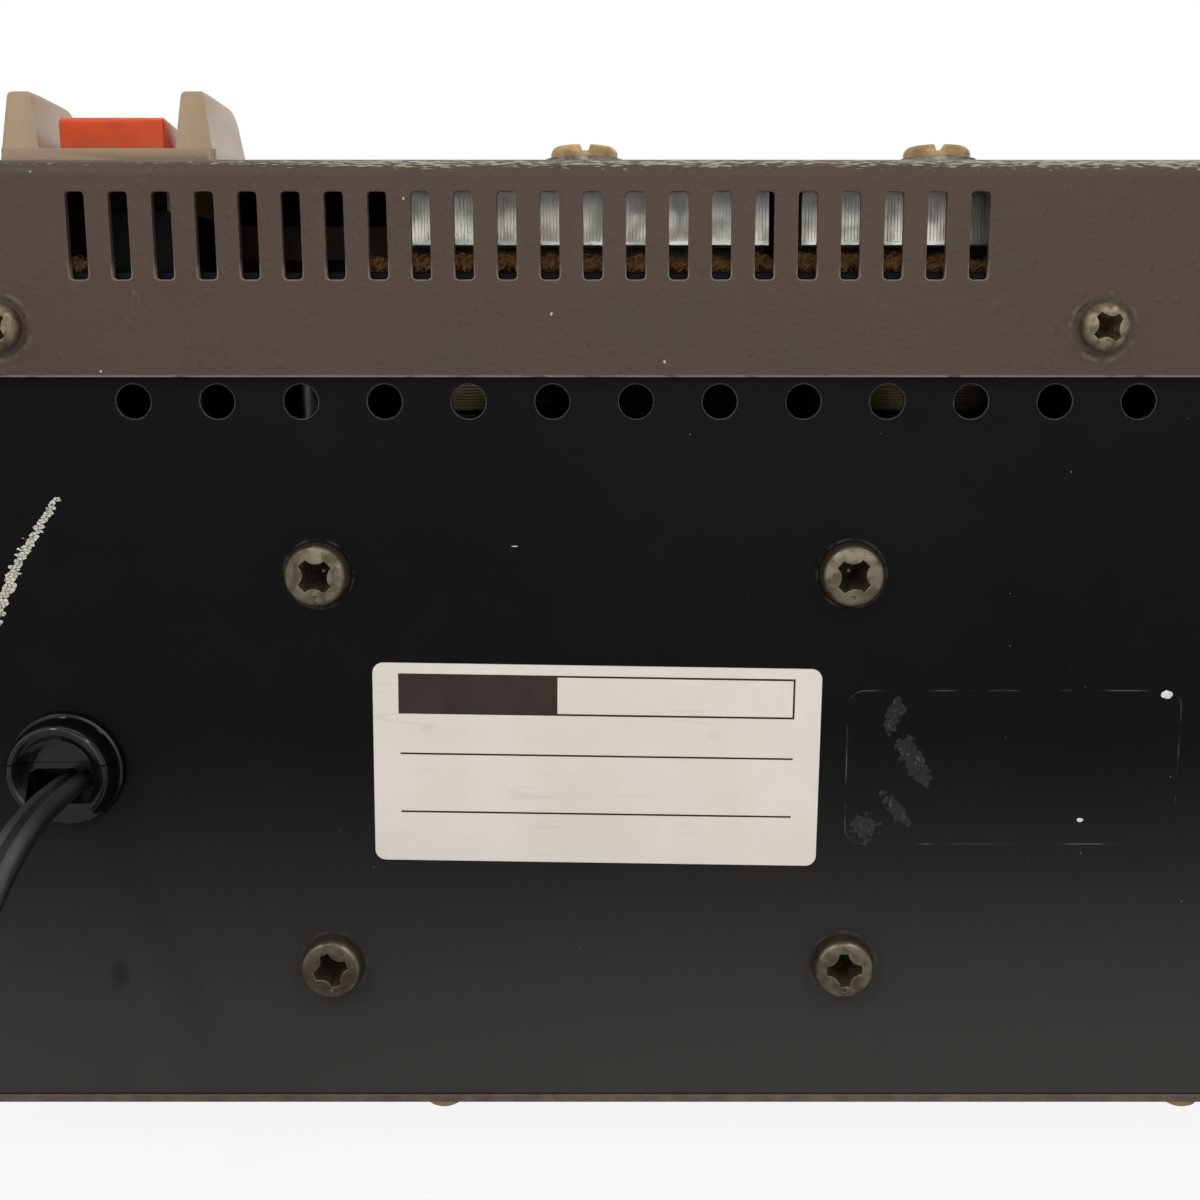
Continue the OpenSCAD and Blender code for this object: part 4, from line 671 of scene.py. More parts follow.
@dataclass(frozen=True)
class PanelPaint(Finish):
    """Black satin paint of the rear panel, with its scrape and the trace of a lost label.

    Attributes:
        face: Y of the panel's rear face.
        seats: Centres of the bolts that rub rings into it.
        floor_reflection_from: Height below which a painted reflection of the pale floor makes it
            paler.
        floor_reflection_to: Height at which the painted reflection is at its palest.
        scrape_centre: X and Z about which the scrape curves.
        scrape_radius: Radius of its curve.
        scrape_span: Angles between which it runs, in radians.
        trace_centre: X and Z of the lost label's middle.
        trace_half: Half its width and height.
        residue: Offset, half size and lean of each patch that its glue left.
    """

    face: float = 0.14175
    seats: tuple[Point, ...] = ()
    floor_reflection_from: float = 0.074
    floor_reflection_to: float = 0.012
    scrape_centre: Pair = (0.1742, 0.0618)
    scrape_radius: float = 69.2 * MM
    scrape_span: Pair = (0.34, 0.69)
    trace_centre: Pair = (0.0878, 0.0651)
    trace_half: Pair = (24.8 * MM, 11.9 * MM)
    residue: tuple[tuple[float, float, float, float, float], ...] = (
        (17.9 * MM, 8.2 * MM, 1.6 * MM, 3.1 * MM, 0.3),
        (14.9 * MM, 1.2 * MM, 2.3 * MM, 5.2 * MM, -0.5),
        (17.2 * MM, -6.4 * MM, 1.5 * MM, 3.3 * MM, -0.7),
        (22.0 * MM, -9.2 * MM, 2.5 * MM, 2.5 * MM, 0.0))

    def marks(self, surface: Surface) -> None:
        """Lays the painted reflection of the floor, paler towards the bottom, the label's trace,
        the scrape and the rings round the bolts.
        """
        tree = surface.tree
        # Painted reflection: the panel grows paler towards its bottom, as its gloss mirrors the
        # pale floor.
        floor_reflection = tree.step(tree.split(surface.point)[2], self.floor_reflection_from, self.floor_reflection_to)
        surface.lay(floor_reflection, seen(58, 57, 54), 0.46)
        self.smears(surface)
        self.lost_label(surface)
        self.scrape(surface)
        for seat in self.seats:
            ring = scuff_and_shade_ring.place(tree, Point=surface.point, Centre=seat, Radius=5.1 * MM,
                                    Width=0.3 * MM)
            surface.lay(ring, seen(104, 102, 92), 0.45, share=0.25)

    def lost_label(self, surface: Surface) -> None:
        """Lays the outline of a label that came off, with its torn residue.

        Args:
            surface: Surface of the panel.
        """
        tree = surface.tree
        centre = (self.trace_centre[0], self.face, self.trace_centre[1])
        edge = box_edge.place(tree, Point=surface.point, Centre=centre,
                              Half=(self.trace_half[0], 1.0, self.trace_half[1]), Corner=2.6 * MM)
        line = tree.step(tree.size(edge), 0.13 * MM, 0.03 * MM)
        faint = surface.patches(5 * MM, 5.0, 0.4, 0.68)
        surface.lay(tree.times(line, faint), seen(104, 106, 108), 0.5, share=0.5)
        for x, z, half_x, half_z, lean in self.residue:
            patch = torn_patch.place(tree, Point=surface.point, Lean=lean,
                                     Centre=(centre[0] + x, self.face, centre[2] + z),
                                     Half=(half_x, 1.0, half_z))
            surface.lay(patch, seen(66, 67, 67), 0.8, 0.0, 0.01, share=0.32)
            crumbs = surface.patches(0.4 * MM, 2.0, 0.6, 0.7)
            surface.lay(tree.times(patch, crumbs), seen(96, 96, 94), 0.8, share=0.5)

    def scrape(self, surface: Surface) -> None:
        """Lays the scrape that bared the metal flake by flake, beside the lead.

        Args:
            surface: Surface of the panel.
        """
        tree = surface.tree
        x, _, z = tree.split(surface.point)
        dx = tree.minus(x, self.scrape_centre[0])
        dz = tree.minus(z, self.scrape_centre[1])
        away = tree.math("SQRT", tree.plus(tree.times(dx, dx), tree.times(dz, dz)))
        angle = tree.math("ARCTAN2", dz, dx)
        along = tree.times(angle, self.scrape_radius / (0.5 * MM))
        across = tree.over(tree.minus(away, self.scrape_radius), 0.62 * MM)
        slanted = tree.plus(along, tree.times(across, 0.5))
        place = tree.node("CombineXYZ", {0: slanted, 1: across}).outputs[0]
        first, last = self.scrape_span
        widening = tree.math("DIVIDE", tree.minus(last, angle), last - first, clamp=True)
        reach = tree.times(tree.math("POWER", widening, 0.25), 1.5)
        bared = flakes.place(tree, Place=place, Reach=reach)
        span = tree.times(tree.math("GREATER_THAN", angle, first),
                          tree.math("LESS_THAN", angle, last))
        pitted = surface.patches(0.3 * MM, 3.0, 0.68, 0.58)
        shade = tree.blend(tree.noise(surface.point, 0.8 * MM, 3.0), seen(150, 148, 134),
                           seen(226, 222, 204))
        bared = tree.times(bared, span, pitted)
        surface.lay(bared, shade, 0.5, 0.15, -0.05)

    def smears(self, surface: Surface) -> None:
        """Lays a few dull wiped patches, which show mostly in the gloss.

        Args:
            surface: Surface of the panel.
        """
        tree = surface.tree
        drawn = tree.scaled(surface.point, (1.0, 1.0, 2.4))
        wiped = tree.step(tree.noise(drawn, 42 * MM, 4.0), 0.5, 0.72)
        surface.lay(wiped, None, 0.5)
        blots = surface.patches(13 * MM, 3.0, 0.68, 0.78)
        surface.lay(blots, seen(16, 16, 17), 0.32, share=0.45)
        brushed = tree.noise(tree.scaled(surface.point, (0.02, 1.0, 1.0)), 0.5 * MM, 2.0)
        surface.lay(brushed, lift=0.0015)


@dataclass(frozen=True)
class RibbedMetal(Finish):
    """Extruded or wound stock with even ridges.

    Attributes:
        along: Direction in which the ridges follow each other.
        pitch: Distance from one ridge to the next.
        ridge: Height of a ridge, in millimetres.
    """

    along: Point = (1.0, 0.0, 0.0)
    pitch: float = 0.5 * MM
    ridge: float = 0.1

    def marks(self, surface: Surface) -> None:
        """Lays the ridges, with painted shade darkening their grooves."""
        tree = surface.tree
        wave = ribs.place(tree, Point=surface.point, Along=self.along, Pitch=self.pitch)
        # Painted shade: the grooves between the ridges are darkened.
        surface.lay(tree.step(wave, 0.55, 0.25), tuple(c * 0.35 for c in self.colour),
                    lift=-self.ridge)


@dataclass(frozen=True)
class CastDots(Finish):
    """Plated steel with a pitted, patchy passivation.

    Attributes:
        tint: Colour of the thicker patches.
        patch: Size of the patches.
    """

    tint: Colour = (0.1, 0.08, 0.04)
    patch: float = 1.6 * MM

    def marks(self, surface: Surface) -> None:
        """Lays the patches and the pits."""
        tree = surface.tree
        cloud = surface.patches(self.patch, 5.0, 0.4, 0.66)
        surface.lay(cloud, self.tint, min(1.0, self.roughness + 0.18))
        pits = surface.patches(0.35 * MM, 2.0, 0.62, 0.72)
        surface.lay(pits, None, min(1.0, self.roughness + 0.3), None, -0.02)


@dataclass(frozen=True)
class OrangeLens(Finish):
    """Clear orange moulding with a painted bright band along its top for the light through it,
    frosted with dust near its foot, and painted near-black for the shade below the guard's foot.

    Attributes:
        foot: Height of the guard's base, where the frost starts.
        top: Height of the moulding's top.
    """

    foot: float = 0.1559
    top: float = 0.1607

    def marks(self, surface: Surface) -> None:
        """Lays the frost, the painted highlight band along the top and the painted shade below the
        foot.
        """
        tree = surface.tree
        z = tree.split(surface.point)[2]
        cloud = tree.noise(surface.point, 2.2 * MM, 4.0)
        low = tree.step(z, self.foot + 2.6 * MM, self.foot + 0.2 * MM)
        frost = tree.times(low, tree.step(cloud, 0.3, 0.7))
        surface.lay(frost, seen(174, 100, 64), 0.6, share=0.5)
        smoke = surface.patches(5 * MM, 2.0, 0.5, 0.7)
        surface.lay(smoke, seen(150, 64, 40), 0.45, share=0.35)
        # Painted highlight: a bright band along the top stands in for light through the moulding.
        band = tree.step(z, self.top - 0.9 * MM, self.top - 0.35 * MM)
        surface.lay(band, seen(216, 92, 34), share=0.7)
        # Painted shade: below the guard's foot, down in the cavity, the rocker is laid near-black.
        surface.lay(tree.math("LESS_THAN", z, self.foot - 2.6 * MM), seen(14, 13, 13), 0.7)


@dataclass(frozen=True)
class Foil(Finish):
    """Silver foil of the rating plate with long faint scratches across it."""

    def marks(self, surface: Surface) -> None:
        """Lays warm and cool clouds and the scratches."""
        tree = surface.tree
        cloud = surface.patches(16 * MM, 4.0, 0.35, 0.65)
        surface.lay(cloud, seen(208, 203, 188), share=0.6)
        turned = tree.laid(surface.point, (0.0, 0.95, 0.0), (0.05, 1.0, 1.0))
        line = tree.size(tree.minus(tree.noise(turned, 3 * MM, 1.0), 0.5))
        kept = surface.patches(14 * MM, 2.0, 0.5, 0.62)
        surface.lay(tree.times(tree.step(line, 0.02, 0.004), kept), seen(166, 160, 148), share=0.18)


class Paint:
    """The finishes of the case, lead and fittings."""

    BOTTOM = Finish(
        "bottom_paint", seen(86, 70, 60), 0.5, drift=0.35, drift_size=3 * MM, grain=0.03, lumps=0.3,
        wear=0.7, rubbed=seen(150, 132, 112), speck=0.1, corner=0.15 * MM)
    FRONT = Finish(
        "front_moulding", seen(80, 68, 60), 0.55, specular=0.3, grain=0.03, grain_size=0.5 * MM,
        lumps=0.35, wear=0.3, rubbed=seen(112, 98, 86), scratch=0.2, dust=0.12,
        corner=0.8 * MM)
    DECK = Finish(
        "deck_moulding", seen(168, 152, 130), 0.52, drift=0.05, grain=0.022, grain_size=0.55 * MM,
        lumps=0.3, wear=0.25, rubbed=seen(188, 174, 152), scratch=0.18,
        scored=seen(144, 130, 110), dust=0.14, corner=0.7 * MM)
    GUARD = Finish(
        "guard_moulding", seen(152, 129, 101), 0.48, specular=0.35, drift=0.06, grain=0.01,
        grain_size=0.35 * MM, scratch=0.25, scored=seen(182, 164, 142), speck=0.06)
    TRAY = Finish(
        "tray_moulding", seen(38, 36, 35), 0.55, grain=0.03, grain_size=0.5 * MM, lumps=0.4,
        wear=0.3, rubbed=seen(66, 63, 60), scratch=0.25, scored=seen(74, 71, 68),
        dust=0.3, dusty=seen(112, 105, 96), corner=0.5 * MM)
    ROCKER = OrangeLens(
        "orange_lens", seen(198, 66, 12), 0.34, specular=0.18, drift=0.1, drift_size=6 * MM,
        transmission=0.06, subsurface=0.12, scratch=0.3, scored=seen(210, 104, 56),
        speck=0.06)
    LAMP = Finish("lamp_lens", seen(196, 46, 24), 0.18, transmission=0.25, coat=0.4)
    KEY = Finish(
        "key_moulding", seen(196, 184, 164), 0.42, drift=0.05, grain=0.008, grain_size=0.4 * MM,
        wear=0.3, rubbed=seen(212, 202, 184), dust=0.08, corner=0.3 * MM)
    START = Finish(
        "start_moulding", seen(184, 74, 36), 0.42, drift=0.06, grain=0.008, grain_size=0.4 * MM,
        wear=0.3, rubbed=seen(202, 108, 70), dust=0.08, corner=0.3 * MM)
    DIAL = Finish(
        "dial_moulding", seen(42, 39, 37), 0.42, grain=0.008, grain_size=0.4 * MM, wear=0.35,
        rubbed=seen(78, 74, 70), dust=0.14, corner=0.25 * MM)
    PRINT = Finish("dark_print", seen(44, 35, 30), 0.55, specular=0.2, drift=0.2, drift_size=3 * MM)
    PALE_PRINT = Finish("pale_print", seen(220, 214, 200), 0.55, drift=0.08, drift_size=3 * MM)
    SPINDLE = Finish(
        "spindle_moulding", seen(208, 203, 190), 0.35, drift=0.05, grain=0.005, coat=0.15,
        dust=0.05)
    BUSHING = Finish(
        "bushing_moulding", seen(9, 9, 10), 0.13, specular=0.3, drift=0.2, grain=0.003,
        grain_size=1.5 * MM, scratch=0.15, scored=seen(60, 60, 62), speck=0.05)
    LEAD = Finish(
        "lead_sheath", seen(27, 29, 33), 0.36, specular=0.4, drift=0.3, drift_size=8 * MM,
        grain=0.03, grain_size=2.2 * MM, scratch=0.35, scored=seen(70, 72, 76), speck=0.1,
        dust=0.1)
    PLUG = Finish(
        "plug_moulding", seen(26, 26, 28), 0.46, grain=0.02, grain_size=0.5 * MM, lumps=0.3,
        scratch=0.3, scored=seen(66, 66, 68), dust=0.15)
    FOOT = Finish(
        "foot_rubber", seen(30, 29, 29), 0.75, grain=0.04, grain_size=0.8 * MM, dust=0.2,
        dusty=seen(110, 104, 98))
    FLUFF = Finish(
        "brown_fluff", seen(122, 86, 52), 0.95, drift=0.5, drift_size=1.5 * MM, specular=0.1)
    FELT = Finish(
        "fluff_felt", seen(44, 28, 15), 0.95, drift=0.5, drift_size=0.8 * MM, specular=0.05,
        grain=0.1, grain_size=0.3 * MM)
    DROP = Finish("dried_drop", seen(206, 208, 206), 0.35, drift=0.1, drift_size=1 * MM)


class Metal:
    """The finishes of the plated, turned and extruded pieces."""

    SHEET = Finish(
        "zinc_sheet", seen(176, 178, 182), 0.38, 0.9, grain=0.006, stretch=(0.05, 1, 1),
        scratch=0.2, scored=seen(205, 206, 210))
    PRESSED = CastDots(
        "passivated_sheet", seen(190, 184, 160), 0.34, 0.85, grain=0.006, stretch=(0.05, 1, 1),
        tint=seen(196, 178, 124), patch=6 * MM)
    TURNED = Finish(
        "turned_steel", seen(188, 188, 190), 0.28, 1.0, grain=0.006, stretch=(1, 1, 0.05))
    WORN = CastDots(
        "worn_screw", seen(118, 108, 86), 0.38, 0.6, tint=seen(84, 66, 46), patch=1.3 * MM,
        grain=0.03, grain_size=0.5 * MM, wear=0.8, rubbed=seen(176, 168, 146),
        wear_metallic=0.6, corner=0.14 * MM)
    BOLT = CastDots(
        "olive_bolt", seen(100, 92, 76), 0.3, 0.8, tint=seen(70, 62, 48), patch=1.8 * MM,
        grain=0.015, grain_size=0.5 * MM, wear=0.6, speck=0.5, rubbed=seen(158, 150, 128),
        wear_metallic=0.6, corner=0.14 * MM)
    YELLOW = CastDots(
        "yellow_screw", seen(166, 135, 82), 0.45, 0.2, tint=seen(136, 110, 68), patch=2.2 * MM,
        grain=0.012, wear=0.3, rubbed=seen(206, 180, 128), wear_metallic=0.3, corner=0.15 * MM)
    WASHER = CastDots(
        "grey_washer", seen(120, 120, 116), 0.4, 0.8, tint=seen(88, 86, 82), grain=0.01)
    BRONZE = Finish(
        "sintered_bronze", seen(186, 138, 84), 0.42, 0.9, grain=0.02, grain_size=0.3 * MM)
    FLYWHEEL = RibbedMetal(
        "turned_brass", seen(190, 172, 128), 0.26, 1.0, drift=0.06, along=(0.0, 0.0, 1.0),
        pitch=0.7 * MM, ridge=0.01)
    # Painted shade: the heat sinks' webs are given a dark olive grey, as they lie in shadow below
    # the sinks.
    SHADED_WEB = CastDots("shade_darkened_aluminium", seen(84, 80, 70), 0.6, 0.3, tint=seen(62, 56, 46))
    SINK = CastDots(
        "extruded_aluminium", seen(242, 240, 232), 0.33, 0.95, drift=0.05, grain=0.004,
        stretch=(1, 1, 0.04), tint=seen(224, 222, 212), patch=3 * MM)
    CAN = Finish("motor_can", seen(158, 160, 162), 0.34, 0.9, grain=0.006, stretch=(1, 1, 0.05))
    HEAD = Finish(
        "polished_head", seen(204, 204, 208), 0.14, 1.0, drift=0.03, scratch=0.15,
        scored=seen(160, 160, 164))
    BLADE = Finish(
        "nickel_blade", seen(196, 190, 172), 0.26, 0.95, scratch=0.4,
        scored=seen(226, 222, 208), grain=0.004, stretch=(0.05, 1, 1))
    FOIL = Foil(
        "plate_foil", seen(217, 207, 198), 0.46, 0.0, drift=0.03, grain=0.002,
        stretch=(0.03, 1.0, 1.0), scratch=0.2, scored=seen(186, 178, 168), wear=0.3,
        rubbed=seen(150, 143, 132), corner=0.08 * MM)


class Inside:
    """The finishes of the pieces inside the case."""

    LAMINATION = RibbedMetal(
        "lamination_steel", seen(36, 33, 31), 0.6, 0.3, specular=0.2, along=(0.0, 1.0, 0.0),
        pitch=0.7 * MM, ridge=0.03)
    WINDING = RibbedMetal(
        "copper_winding", seen(178, 104, 58), 0.35, 0.7, along=(0.0, 0.0, 1.0), pitch=0.8 * MM,
        ridge=0.08)
    BOARD = Finish(
        "board_laminate", seen(56, 42, 25), 0.55, drift=0.2, drift_size=5 * MM, specular=0.2,
        dust=0.3, dusty=seen(52, 44, 35))
    EPOXY = Finish("transistor_epoxy", seen(36, 36, 38), 0.6, grain=0.02)
    SLEEVE = Finish("capacitor_sleeve", seen(22, 26, 46), 0.4, specular=0.25)
    PAPER = Finish("coil_paper", seen(150, 112, 66), 0.6, grain=0.02)
    BELT = Finish("belt_rubber", seen(34, 34, 35), 0.7, grain=0.02)
    ROLLER = Finish(
        "roller_rubber", seen(30, 30, 31), 0.62, grain=0.01, drift=0.2, drift_size=4 * MM)
    SWITCH = Finish("switch_moulding", seen(12, 12, 12), 0.6, specular=0.2, grain=0.01)


class Axis(Enum):
    """Which way a turned piece points, as the turn that brings its own +Z there."""

    UP = Matrix.Identity(4)
    REAR = Matrix.Rotation(-pi / 2, 4, "X")
    RIGHT = Matrix.Rotation(pi / 2, 4, "Y")
    LEFT = Matrix.Rotation(-pi / 2, 4, "Y")


class Shape:
    """A mesh that is put together from rings, boxes and plates."""

    def __init__(self) -> None:
        """Starts an empty mesh."""
        self.mesh = bmesh.new()

    def loft(self, rings: Sequence[Sequence[Vector]], capped: bool = True) -> None:
        """Joins rings of equal length with quads.

        Args:
            rings: Rings of points, in order.
            capped: Whether the first and the last ring are closed.
        """
        rows = [[self.mesh.verts.new(point) for point in ring] for ring in rings]
        count = len(rows[0])
        for low, high in zip(rows, rows[1:]):
            for k in range(count):
                following = (k + 1) % count
                self.mesh.faces.new((low[k], low[following], high[following], high[k]))
        if capped:
            self.mesh.faces.new(tuple(reversed(rows[0])))
            self.mesh.faces.new(tuple(rows[-1]))

    def turned(self, profile: Outline, place: Matrix, sides: int = 64,
               wave: Callable[[float, float], float] | None = None) -> None:
        """Turns a profile round +Z and places it.

        Args:
            profile: Radius and height of each ring, none on the axis itself.
            place: Where the turned piece goes.
            sides: Number of sides.
            wave: Adds to the radius, from the height and the angle.
        """
        rings = []
        for radius, height in profile:
            ring = []
            for k in range(sides):
                angle = tau * k / sides
                reach = radius + (wave(height, angle) if wave else 0.0)
                ring.append(place @ Vector((reach * cos(angle), reach * sin(angle),
                                            height)))
            rings.append(ring)
        self.loft(rings)

    def box(self, low: Point, high: Point) -> None:
        """Adds an upright box between two corners."""
        (x0, y0, z0), (x1, y1, z1) = low, high
        ring = ((x0, y0), (x1, y0), (x1, y1), (x0, y1))
        self.loft([[Vector((x, y, z)) for x, y in ring] for z in (z0, z1)])

    def plate(self, outline: Outline, low: float, high: float,
              place: Matrix = Matrix.Identity(4)) -> None:
        """Adds a flat plate of any outline, between two heights of its own frame."""
        self.loft([[place @ Vector((x, y, z)) for x, y in outline] for z in (low, high)])

    def carve(self, cutter: "Shape") -> None:
        """Takes another shape out of this one.

        Args:
            cutter: Shape to take out; it is used up.
        """
        parts = [Shape.to_object(shape, "carving") for shape in (self, cutter)]
        modifier = parts[0].modifiers.new("cut", "BOOLEAN")
        modifier.object = parts[1]
        modifier.solver = "EXACT"
        graph = bpy.context.evaluated_depsgraph_get()
        result = bpy.data.meshes.new_from_object(parts[0].evaluated_get(graph))
        self.mesh = bmesh.new()
        self.mesh.from_mesh(result)
        bpy.data.meshes.remove(result)
        for part in parts:
            bpy.data.objects.remove(part)

    def soften(self, width: float, segments: int = 2, least: float = 32.0) -> None:
        """Rounds the sharp edges.

        Args:
            width: How far each rounding reaches.
            segments: Faces across a rounding.
            least: Angle in degrees above which an edge is sharp.
        """
        bmesh.ops.remove_doubles(self.mesh, verts=self.mesh.verts, dist=WELD)
        bmesh.ops.dissolve_limit(self.mesh, angle_limit=FLAT, verts=self.mesh.verts,
                                 edges=self.mesh.edges)
        sharp = [edge for edge in self.mesh.edges
                 if edge.is_manifold and edge.calc_face_angle(0.0) > radians(least)]
        bmesh.ops.bevel(self.mesh, geom=sharp, offset=width, offset_type="OFFSET",
                        segments=segments, profile=0.5, affect="EDGES", clamp_overlap=True)

    def to_object(self, name: str) -> Piece:
        """Turns the shape into an object in the scene.

        Args:
            name: Name of the object and its mesh.

        Returns:
            The object.
        """
        bmesh.ops.recalc_face_normals(self.mesh, faces=self.mesh.faces)
        data = bpy.data.meshes.new(name)
        self.mesh.to_mesh(data)
        self.mesh.free()
        data.polygons.foreach_set("use_smooth", [True] * len(data.polygons))
        data.set_sharp_from_angle(angle=CREASE)
        return in_scene(name, data)


def copied(node: str) -> Shape:
    """Returns a shape with a copy of a CAD node's mesh."""
    shape = Shape()
    shape.mesh.from_mesh(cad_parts[node].data)
    return shape


def rounded(half_x: float, half_y: float, corner: float, steps: int = 6,
            centre: Pair = (0.0, 0.0)) -> Outline:
    """Returns the outline of a rounded rectangle, anticlockwise.

    Args:
        half_x: Half its width.
        half_y: Half its height.
        corner: Radius of its corners.
        steps: Points along each corner, less one.
        centre: Its middle.

    Returns:
        Its points.
    """
    outline = []
    for quarter, (sx, sy) in enumerate(((1, 1), (-1, 1), (-1, -1), (1, -1))):
        for k in range(steps + 1):
            angle = pi / 2 * (quarter + k / steps)
            outline.append((centre[0] + sx * (half_x - corner) + corner * cos(angle),
                            centre[1] + sy * (half_y - corner) + corner * sin(angle)))
    return outline


def middle(node: str) -> Vector:
    """Returns the middle of a CAD node's box."""
    low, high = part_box(node)
    return Vector((a + b) / 2 for a, b in zip(low, high))


class SubAssembly:
    """Pieces that are made and dressed together."""

    def build(self) -> None:
        """Makes and dresses the pieces."""
        raise NotImplementedError

    def dress(self, finish: Finish, *nodes: str) -> None:
        """Gives CAD nodes a finish.

        Args:
            finish: Their finish.
            *nodes: Names of the nodes.
        """
        for node in nodes:
            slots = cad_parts[node].data.materials
            for index in range(len(slots)):
                slots[index] = finish.material()

    def place(self, shape: Shape, name: str, finish: Finish, slot: str, body: str = CHASSIS,
              replaces: Iterable[str] = ()) -> Piece:
        """Adds a finished piece that rides on a body.

        Args:
            shape: Its shape, which is used up.
            name: Its name.
            finish: Its finish.
            slot: Not used.
            body: The body that carries it.
            replaces: CAD nodes that it stands for.

        Returns:
            The piece.
        """
        made = shape.to_object(name)
        made.data.materials.append(finish.material())
        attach(made, body)
        if replaces:
            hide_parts(*replaces)
        return made

    def soft_copy(self, node: str, width: float, finish: Finish, slot: str,
                  body: str = CHASSIS) -> Piece:
        """Stands a copy with rounded edges in for a CAD node."""
        shape = copied(node)
        shape.soften(width)
        return self.place(shape, f"{node}_soft", finish, slot, body, (node,))


@dataclass
class PhotoCamera:
    """The camera, behind the unit and a little above the middle of its rear.

    Attributes:
        behind: Distance behind the cover's rear face.
        across: Its X.
        below: Distance below the cover's top.
        pitch: How far it looks down, in degrees.
        lens: Focal length, in millimetres as its sensor's width.
        shift: Sideways shift of the picture.
        nearest: Nearest distance that it sees.
    """

    behind: float = 205.2 * MM
    across: float = 142 * MM
    below: float = 26.2 * MM
    pitch: float = 9.92
    lens: float = 42.9
    sensor: float = 36.0
    shift: float = -0.0417
    nearest: float = 10 * MM

    def build(self) -> None:
        """Makes the camera and sets it as the scene's own."""
        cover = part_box("top_cover")[1]
        data = bpy.data.cameras.new("photo_camera")
        data.lens = self.lens
        data.sensor_width = self.sensor
        data.shift_x = self.shift
        data.clip_start = self.nearest
        camera = in_scene("photo_camera", data)
        camera.location = (self.across, cover[1] + self.behind, cover[2] - self.below)
        camera.rotation_euler = (radians(90 - self.pitch), 0.0, pi)
        bpy.context.scene.camera = camera


@dataclass
class Studio:
    """Pale floor, plain white surroundings and soft lamps.

    Attributes:
        floor_half: Half the floor's side.
        floor_shades: The floor's darkest and palest grey.
        floor_glow: Share of plain white in what the camera sees of the floor.
        sky: Strength of the surroundings' light on the object.
        lamps: Name, place, target, length of side and watts of each lamp.
    """

    floor_half: float = 3.0
    floor_shades: Pair = (0.82, 0.86)
    floor_glow: float = 0.9
    sky: float = 0.38
    lamps: tuple[tuple[str, Point, Point, float, float], ...] = (
        ("key_lamp", (-0.35, 0.75, 0.85), (0.12, 0.1, 0.08), 0.16, 1.8),
        ("fill_lamp", (0.9, 0.9, 0.6), (0.05, 0.1, 0.06), 0.8, 1.6),
        ("top_lamp", (0.0, -0.3, 1.4), (0.0, 0.0, 0.1), 1.2, 6.5),
        ("spark_lamp", (0.6, 0.75, 0.8), (0.2, 0.14, 0.07), 0.12, 1.7),
        ("low_lamp", (0.06, 1.05, 0.27), (0.14, 0.1, 0.11), 0.8, 3.3),
        ("front_lamp", (-0.4, -1.2, 0.7), (0.0, -0.1, 0.06), 0.8, 4.5))

    def build(self) -> None:
        """Makes the floor, the surroundings and the lamps."""
        self.lay_floor()
        self.light_world()
        for lamp in self.lamps:
            self.hang(*lamp)

    def lay_floor(self) -> None:
        """Lays the floor that the unit stands on."""
        shape = Shape()
        half = self.floor_half
        corners = ((-half, -half), (half, -half), (half, half), (-half, half))
        shape.mesh.faces.new([shape.mesh.verts.new((x, y, 0.0)) for x, y in corners])
        floor = shape.to_object("floor")
        material = bpy.data.materials.new("pale_floor")
        tree = Tree.of(material)
        point = tree.node("TexCoord").outputs["Object"]
        cloud = colour_drift.place(tree, Point=point, Size=0.4)
        colour = tree.blend(cloud, *((shade,) * 3 for shade in self.floor_shades))
        plain = tree.node("BsdfPrincipled",
                          {"Base Color": colour, "Roughness": 0.8, "Specular IOR Level": 0.1})
        glow = tree.node("Emission", {"Color": (1.0, 1.0, 1.0), "Strength": 1.0})
        camera = tree.node("LightPath").outputs["Is Camera Ray"]
        share = tree.times(camera, self.floor_glow)
        mixed = tree.node("MixShader", {0: share, 1: plain.outputs[0],
                                                  2: glow.outputs[0]})
        tree.node("OutputMaterial", {0: mixed.outputs[0]})
        floor.data.materials.append(material)

    def light_world(self) -> None:
        """Lights the object evenly, in front of a white background."""
        world = bpy.data.worlds.new("white_room")
        bpy.context.scene.world = world
        tree = Tree.of(world)
        path = tree.node("LightPath").outputs
        shown = tree.math("ADD", tree.plus(path["Is Camera Ray"], path["Is Glossy Ray"]),
                          path["Is Transmission Ray"], clamp=True)
        strength = tree.turn(shown, self.sky, 1.0)
        light = tree.node("Background", {"Color": (1.0, 1.0, 1.0), "Strength": strength})
        tree.node("OutputWorld", {0: light.outputs[0]})

    def hang(self, name: str, place: Point, target: Point, size: float, power: float) -> None:
        """Hangs a soft square lamp.

        Args:
            name: Its name.
            place: Where it hangs.
            target: What it faces.
            size: Length of its side.
            power: Its power in watts.
        """
        data = bpy.data.lights.new(name, "AREA")
        data.size = size
        data.energy = power
        lamp = in_scene(name, data)
        lamp.location = place
        away = Vector(place) - Vector(target)
        lamp.rotation_euler = away.to_track_quat("Z", "Y").to_euler()


